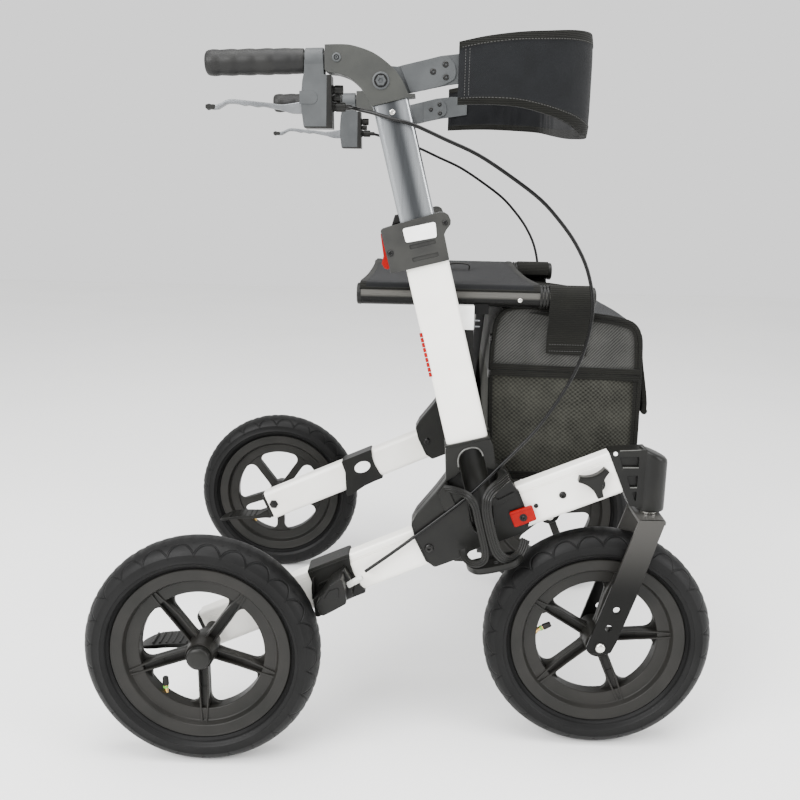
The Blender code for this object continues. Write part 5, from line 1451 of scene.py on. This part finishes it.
# Lining of the backrest: the same cloth unpadded, creased and a little duller
CREASED = woven("creased_lining_cloth", "060607", "101113", 0.002, "twill", 0.0001, 0.8)
faces = [CLOTH, WEB, CREASED]
backrest = piece("backrest_band", pad, faces, "backrest_right", "black_fabric", ["backrest_pad"], sharp=60)
sewn = bmesh.new()
for u in (0.02, 0.029):
    for end in (u, 1 - u):
        lift = (0, -0.0042 if end < 0.5 else 0.0042, 0)
        joined(sewn, stitches(lambda t: band_at(end, 0.13 + 0.74 * t), 17, 0.0008, lift))
for v in (0.1, 0.9):
    row = bmesh.new()
    for k in range(150):
        first, last = [band_at(0.01 + 0.98 * (k + part) / 150, v) for part in (0.2, 0.8)]
        way = (last - first).normalized()
        out = Vector((way.y, -way.x, 0)).normalized() * 0.0046
        pose = way.to_track_quat("Z", "Y").to_matrix().to_4x4()
        pose.translation = (first + last) / 2 + out
        made = bmesh.ops.create_cube(row, size=1.0)["verts"]
        bmesh.ops.scale(row, vec=(0.0008, 0.0008, (last - first).length), verts=made)
        bmesh.ops.transform(row, matrix=pose, verts=made)
    joined(sewn, row)
stitched = piece("backrest_stitches", sewn, THREAD, "backrest_right")
for each in (backrest, stitched):
    folding(each)


# Brake cables, sleeves and shoes

ROUTE = [
    (0.1762, -0.262, 0.845), (0.185, -0.265, 0.844), (0.196, -0.272, 0.841), (0.211, -0.278, 0.8375),
    (0.233, -0.283, 0.831), (0.259, -0.287, 0.8245), (0.298, -0.291, 0.808), (0.3384, -0.294, 0.7905),
    (0.38, -0.295, 0.765), (0.4167, -0.295, 0.7389), (0.442, -0.295, 0.713), (0.462, -0.295, 0.687),
    (0.478, -0.295, 0.656), (0.487, -0.295, 0.6187), (0.486, -0.2945, 0.583), (0.4775, -0.294, 0.545),
    (0.4591, -0.293, 0.5032), (0.4263, -0.29, 0.45), (0.3835, -0.286, 0.4), (0.36, -0.2845, 0.374),
    (0.338, -0.2842, 0.352), (0.305, -0.2842, 0.324), (0.2695, -0.2842, 0.2945), (0.235, -0.2835, 0.2665),
    (0.2087, -0.2832, 0.2462),
]
route = flowing(ROUTE, 4, closed=False)
CABLE_RADIUS = 0.0023
for side, sign in (("right", 1), ("left", -1)):
    cable = along([(x, sign * y, z) for x, y, z in route], CABLE_RADIUS, 12)
    cable = piece(
        f"cable_jacket_{side}", cable, JACKET, None, "cable_black", [f"brake_cable_{side}"], sharp=80
    )
    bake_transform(cable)
ferrule = [(0, 0), (0.0033, 0), (0.0033, 0.007), (0.0028, 0.0078), (0.0024, 0.0078)]
ferrule = turned(ferrule, Matrix.Translation((0.1752, -FRAME_Y, 0.845)), 24, turn=FORWARDS)
pair("cable_ferrule", ferrule, BLACK_STEEL, "handle_{}")

SLEEVE = [
    (-0.223, 0.03), (-0.16, 0.03), (-0.165, 0.015), (-0.1662, 0.0), (-0.164, -0.02), (-0.16, -0.03),
    (-0.178, -0.03), (-0.2, -0.0312), (-0.2168, -0.035), (-0.2345, -0.0385), (-0.24, -0.0366),
    (-0.234, -0.018), (-0.224, 0.008),
]
shape = eased(SLEEVE, [0.004, 0.003, 0.02, 0.02, 0.02, 0.003, 0.01, 0.01, 0.01, 0.003, 0.003, 0.02, 0.02], 3)
sleeve = plate(shape, -0.0172, 0.0172, REAR_LEG, 0.0022, 3)
rib = strip([(-0.221, 0.0262), (-0.164, 0.0262)], 0.0022)
joined(sleeve, plate(rib, -0.0184, -0.0168, REAR_LEG, 0.0006, 2))
rib = strip([(-0.2163, 0.0066), (-0.2, 0.0078), (-0.1834, 0.0072)], 0.0026)
joined(sleeve, plate(rib, -0.019, -0.0168, REAR_LEG, 0.0008, 2))
lobe = [(-0.1715, 0.018), (-0.1823, 0.0132), (-0.195, 0.007), (-0.212, -0.001), (-0.2279, -0.0069)]
lobe = flowing(lobe, 3, closed=False) + [(-0.2354, -0.0304), (-0.2314, -0.033), (-0.2126, -0.03)]
lobe += [(-0.196, -0.0256), (-0.176, -0.023), (-0.17, 0.0)]
joined(sleeve, plate(lobe, -0.033, -0.0165, REAR_LEG, 0.003, 4))
fin = [
    (-0.2197, 0.0177), (-0.216, 0.018), (-0.223, 0.002), (-0.229, -0.0101), (-0.2321, -0.0101),
    (-0.226, 0.006),
]
joined(sleeve, plate(fin, -0.023, -0.0165, REAR_LEG, 0.0009, 2))
for k in range(3):
    x, z = 0.0085 * k, 0.003 * k
    ridge = strip([(x - 0.206, z - 0.0215), (x - 0.199, z - 0.0085)], 0.0014)
    joined(sleeve, plate(ridge, -0.0338, -0.032, REAR_LEG, 0.0004, 1))
pair("brake_sleeve_shell", sleeve, PLASTIC, "frame_{}", "black_plastic", ["brake_sleeve_{}"])
drum = [
    (0, -0.0115), (0.0036, -0.0115), (0.0044, -0.0107), (0.0044, -0.004), (0.0038, -0.0034),
    (0.0038, -0.0026), (0.0044, -0.002), (0.0044, 0.0052), (0.0036, 0.0062), (0.0036, 0.01),
    (0.003, 0.0115), (0.0024, 0.0115),
]
lean = Matrix.Translation((0.196, -0.2945, 0.2364)) @ Matrix.Rotation(pi / 2 - radians(31), 4, "Y")
pair("cable_adjuster", turned(drum, lean, 24), ACETAL, "frame_{}")

SHOE = [
    (0.18, 0.252), (0.164, 0.2397), (0.15, 0.218), (0.1462, 0.211), (0.154, 0.1955), (0.1681, 0.2035),
    (0.1866, 0.215), (0.185, 0.23),
]
jaw = plate(eased(SHOE, 0.0045, 4), -0.0575, -0.0185, SIDE, 0.003, 4)
pad_back = eased([(0.164, 0.233), (0.156, 0.219), (0.176, 0.223), (0.177, 0.238)], 0.003)
joined(jaw, plate(pad_back, -0.059, -0.057, SIDE, 0.0008, 2))
pair("brake_shoe_jaw", jaw, PLASTIC, "brake_shoe_{}", "black_plastic", ["brake_shoe_{}"])

# Kerb pedal
PEDAL = [
    (-0.0045, 0.1385), (-0.013, 0.141), (-0.03, 0.1325), (-0.0457, 0.131), (-0.0584, 0.1306),
    (-0.0804, 0.128), (-0.1, 0.122), (-0.106, 0.118), (-0.104, 0.116), (-0.08, 0.122), (-0.0584, 0.1245),
    (-0.03, 0.125), (-0.006, 0.124),
]
pedal = plate(flowing(PEDAL, 2, sharp=(0, 8, 12)), -0.0205, 0.0205, SIDE, 0.0012, 2)
for vert in pedal.verts:
    x = vert.co.x
    far, narrowest = ((x + 0.106) / 0.028, 0.34) if x < -0.05 else ((-x - 0.016) / 0.03, 0.5)
    share = narrowest + (1 - narrowest) * sin(min(max(far, 0), 1) * pi / 2)
    vert.co.y = -FRAME_Y + (vert.co.y + FRAME_Y) * share
for k in range(6):
    x, z = k * 0.0095 - 0.086, k * 0.00062 + 0.1276
    rung = [(x, z), (x + 0.003, z + 0.0003), (x + 0.003, z + 0.0022), (x, z + 0.0019)]
    joined(pedal, plate(rung, -0.016, 0.016, SIDE, 0.0005, 1))
plug = eased([(-0.012, -0.024), (0.012, -0.024), (0.012, 0.024), (-0.012, 0.024)], 0.0065)
plug = plate(plug, -0.3936, -0.385, REAR_LEG, 0.001, 2, turn=LENGTHWISE)
pair("kerb_pedal_tread", joined(pedal, plug), PLASTIC, "frame_{}", "black_plastic", ["kerb_pedal_{}"])

# Latch and knob of the front leg
LATCH = eased([(0.058, 0.003), (0.058, -0.019), (0.089, -0.019), (0.09, 0.002)], 0.0028, 4)
latch = plate(LATCH, -0.0245, -0.0196, LEG, 0.0009, 3)
joined(latch, plate(strip([(0.06, 0.0012), (0.088, 0.0006)], 0.0012), -0.0252, -0.024, LEG, 0.0004, 1))
pair("leg_latch_tab", latch, RED, "leg_latch_{}", "red_plastic", ["leg_latch_{}"])
flange = [(0, 0.001), (0.0052, 0.0008), (0.0052, 0), (0, 0)]
flange = turned(flange, LEG @ Matrix.Translation((0.0734, -0.0243, -0.0096)), 28, turn=UPWARDS)
joined(flange, screw(0.0036, 0.0026, 0.0734, -0.025, -0.0096, LEG, key=0.5))
pair("leg_latch_screw", flange, BLACK_STEEL, "leg_latch_{}")

# Star of three arms 22.7 mm long and 8.4 mm wide, its flanks hollowed down to 9.8 mm from the middle
star = []
for k in range(3):
    a = radians(111 + 120 * k)
    for j in range(-8, 9):
        across, up = 0.0172 * j / 8, 0.0098 + 0.005 * (j / 8) ** 2
        star.append((0.5074 + up * cos(a) - across * sin(a), 0.3815 + up * sin(a) + across * cos(a)))
KNOB = LEG @ Matrix.Translation((0.1796, 0, -0.0048))
knob = plate(star, -0.029, -0.0176, SIDE, 0.0012, 2)
joined(knob, plate(shrunk(star, 0.0022), -0.0298, -0.0284, SIDE, 0.0006, 2))
hub = [(0, 0.0182), (0.01, 0.018), (0.01, 0.014), (0, 0.014)]
joined(knob, turned(hub, KNOB, 32, turn=UPWARDS))
pair("clamp_knob_grip", knob, PLASTIC, "clamp_knob_{}", "black_plastic", ["clamp_knob_{}"])

# Bolt through the crossing of the brace tubes
bolt = [
    (0, 0.344), (0.0052, 0.344), (0.006, 0.3452), (0.006, 0.3476), (0.004, 0.3478), (0.004, 0.373),
    (0.0064, 0.3732), (0.0064, 0.377), (0, 0.3774),
]
bolt = turned(bolt, Matrix.Translation((0, 0, 0.4413)), 24, turn=FORWARDS)
piece("brace_centre_bolt", bolt, STEEL, "right_rail_brace")

# Brace tubes: flat bars from the seat rail of one side to the hinge of the other, each with a saddle
# under its rail
for side, sign, middle in (("right", -1, BRACE_X[0]), ("left", 1, BRACE_X[1])):
    rail, foot = Vector((-sign * RAIL_Y, RAIL_Z)), Vector((sign * HINGE_Y, HINGE_Z))
    way = (rail - foot).normalized()
    off = Vector((-way.y, way.x)) * 0.013
    far = rail - way * (RAIL_R + 0.01)
    start = foot - way * 0.013
    bar = [tuple(p) for p in (start - off, far - off, far + off, start + off)]
    bar = eased(bar, [0.011, 0.002, 0.002, 0.011], 6)
    low, high = middle - BRACE_THICK / 2, middle + BRACE_THICK / 2
    bore = circle(0.0043, tuple(foot), 16)
    made = plate(bar, low, high, FLAT, 0.0012, 3, holes=[bore], turn=LENGTHWISE)
    saddle = [(rail.x - 0.0115, rail.y - 0.023), (rail.x + 0.0115, rail.y - 0.023)]
    saddle += arc(rail, 0.0144, -38, -143, -8)
    joined(made, plate(saddle, middle - 0.0095, middle + 0.0095, FLAT, 0.0008, 2, turn=LENGTHWISE))
    piece(f"brace_tube_{side}", made, BRACE, RAIL_BODY[side], "brace_black", [f"cross_tube_{side}"])

# White fitting on the right upright under the rail, its two pins, the strap below it, and a rivet of the rail
fitting = [
    (0.244, 0.5708), (0.204, 0.5708), (0.204, 0.6015), (0.211, 0.6025), (0.231, 0.6025), (0.244, 0.6015)
]
boxed = plate(eased(fitting, 0.001), 0.323, 0.3438, FLAT, 0.0006, 2, turn=LENGTHWISE)
piece("brace_fitting", boxed, WHITE_PLASTIC, "frame_right")
pins = bmesh.new()
for z in (0.5824, 0.5746):
    peg = [(0, 0.0085), (0.001, 0.0084), (0.0012, 0), (0, 0)]
    joined(pins, turned(peg, Matrix.Translation((0.3436, -0.238, z)), 16, turn=FORWARDS))
piece("brace_fitting_pins", pins, ALLOY, "frame_right")
strap = [(0.32, 0.504), (0.347, 0.504), (0.344, 0.57), (0.324, 0.57)]
piece("brace_fitting_strap", plate(strap, 0.024, 0.03, SIDE, 0.001, 2), PLASTIC, "frame_right")
rivet = screw(0.003, 0.001, 0.4036, -0.2345, 0.6098, FLAT, key=0.3)
piece("rail_rivet", rivet, STEEL, "right_rail_brace")

# Bare oval plate on the sleeve
oval = [(0.0155 * cos(2 * pi * k / 40), 0.0105 * sin(2 * pi * k / 40)) for k in range(40)]
oval = plate(oval, 0.0168, 0.0184, REAR_LEG @ Matrix.Translation((-0.1895, 0, 0.005)), 0.0005, 2)
pair("sleeve_plate", oval, WHITE_PLASTIC, "frame_{}")

# Press-studs on the back of the bag
stud = [(0, -0.003), (0.0058, -0.0028), (0.0062, -0.0015), (0.0062, 0.0), (0, 0.0)]
studs = bmesh.new()
for z in (0.556, 0.5086):
    joined(studs, turned(stud, Matrix.Translation((0.37, -0.212, z)), 24, turn=FORWARDS))
folding(piece("bag_press_studs", studs, BLACK_STEEL, "bag"))


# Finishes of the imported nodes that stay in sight

KEPT = {
    "frame_white": WHITE,
    "anodised_aluminium": SILVER,
    "elbow_grey": CAST,
    "lever_grey": PAINT,
    "black_plastic": PLASTIC,
    "fork_black": FORK,
    "rim_black": RIM,
    "tyre_rubber": RUBBER,
    "grip_rubber": GRIP,
    "red_plastic": RED,
    "black_fabric": CLOTH,
    "cable_black": JACKET,
    "brace_black": BRACE,
}
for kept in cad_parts.values():
    for socket in kept.material_slots:
        socket.material = KEPT.get(socket.material.name.split(".")[0], PLASTIC)


# Floor, light and camera

floor_mesh = bmesh.new()
bmesh.ops.create_grid(floor_mesh, x_segments=1, y_segments=1, size=6.0)
floor_data = bpy.data.meshes.new("floor")
floor_mesh.to_mesh(floor_data)
floor_mesh.free()
FLOOR = finish("pale_studio_floor", "F4F4F3", 0.6)
grained(FLOOR, "F3F3F2", "F6F6F5", 0.8, 0.02, 0.00001, (0.55, 0.65))
floor_data.materials.append(FLOOR)
floor = bpy.data.objects.new("floor", floor_data)
bpy.context.scene.collection.objects.link(floor)

world = bpy.data.worlds.new("studio")
world.use_nodes = True
world.node_tree.nodes["Background"].inputs["Color"].default_value = (1.0, 1.0, 1.0, 1.0)
world.node_tree.nodes["Background"].inputs["Strength"].default_value = 1.3
bpy.context.scene.world = world


def lamp(name, place, target, size, power):
    data = bpy.data.lights.new(name, "AREA")
    data.shape = "RECTANGLE"
    data.size, data.size_y = size
    data.energy = power
    made = bpy.data.objects.new(name, data)
    bpy.context.scene.collection.objects.link(made)
    made.location = place
    made.rotation_euler = (Vector(target) - Vector(place)).to_track_quat("-Z", "Y").to_euler()


lamp("overhead_softbox", (0.1, -0.5, 2.7), (0, 0, 0.4), (2.4, 1.8), 110)
lamp("front_softbox", (-1.9, -2.5, 2.1), (0, 0, 0.5), (2.2, 1.8), 210)
lamp("side_softbox", (2.4, -1.4, 1.3), (0, 0, 0.4), (1.2, 1.6), 60)

# The photograph's place, direction and tilt: swung 1.3 degrees, looking 12.5 degrees down, rolled 1.2 degrees
swing, dip, roll = -0.0226792677, 0.217738659, -0.0212954817
ahead = Vector((sin(swing) * cos(dip), cos(swing) * cos(dip), -sin(dip)))
right = Vector((cos(swing), -sin(swing), 0))
down = ahead.cross(right)
right, down = cos(roll) * right + sin(roll) * down, cos(roll) * down - sin(roll) * right
eye = bpy.data.cameras.new("camera")
SENSOR = 36.0
FOCAL_PIXELS = 936.493068
eye.sensor_width = SENSOR
eye.lens = SENSOR * FOCAL_PIXELS / 800
camera = bpy.data.objects.new("camera", eye)
bpy.context.scene.collection.objects.link(camera)
pose = Matrix((right, -down, -ahead)).transposed().to_4x4()
camera.matrix_world = Matrix.Translation((0.277282748 - CENTRE_X, -1.46084035, 0.743893114)) @ pose
bpy.context.scene.camera = camera
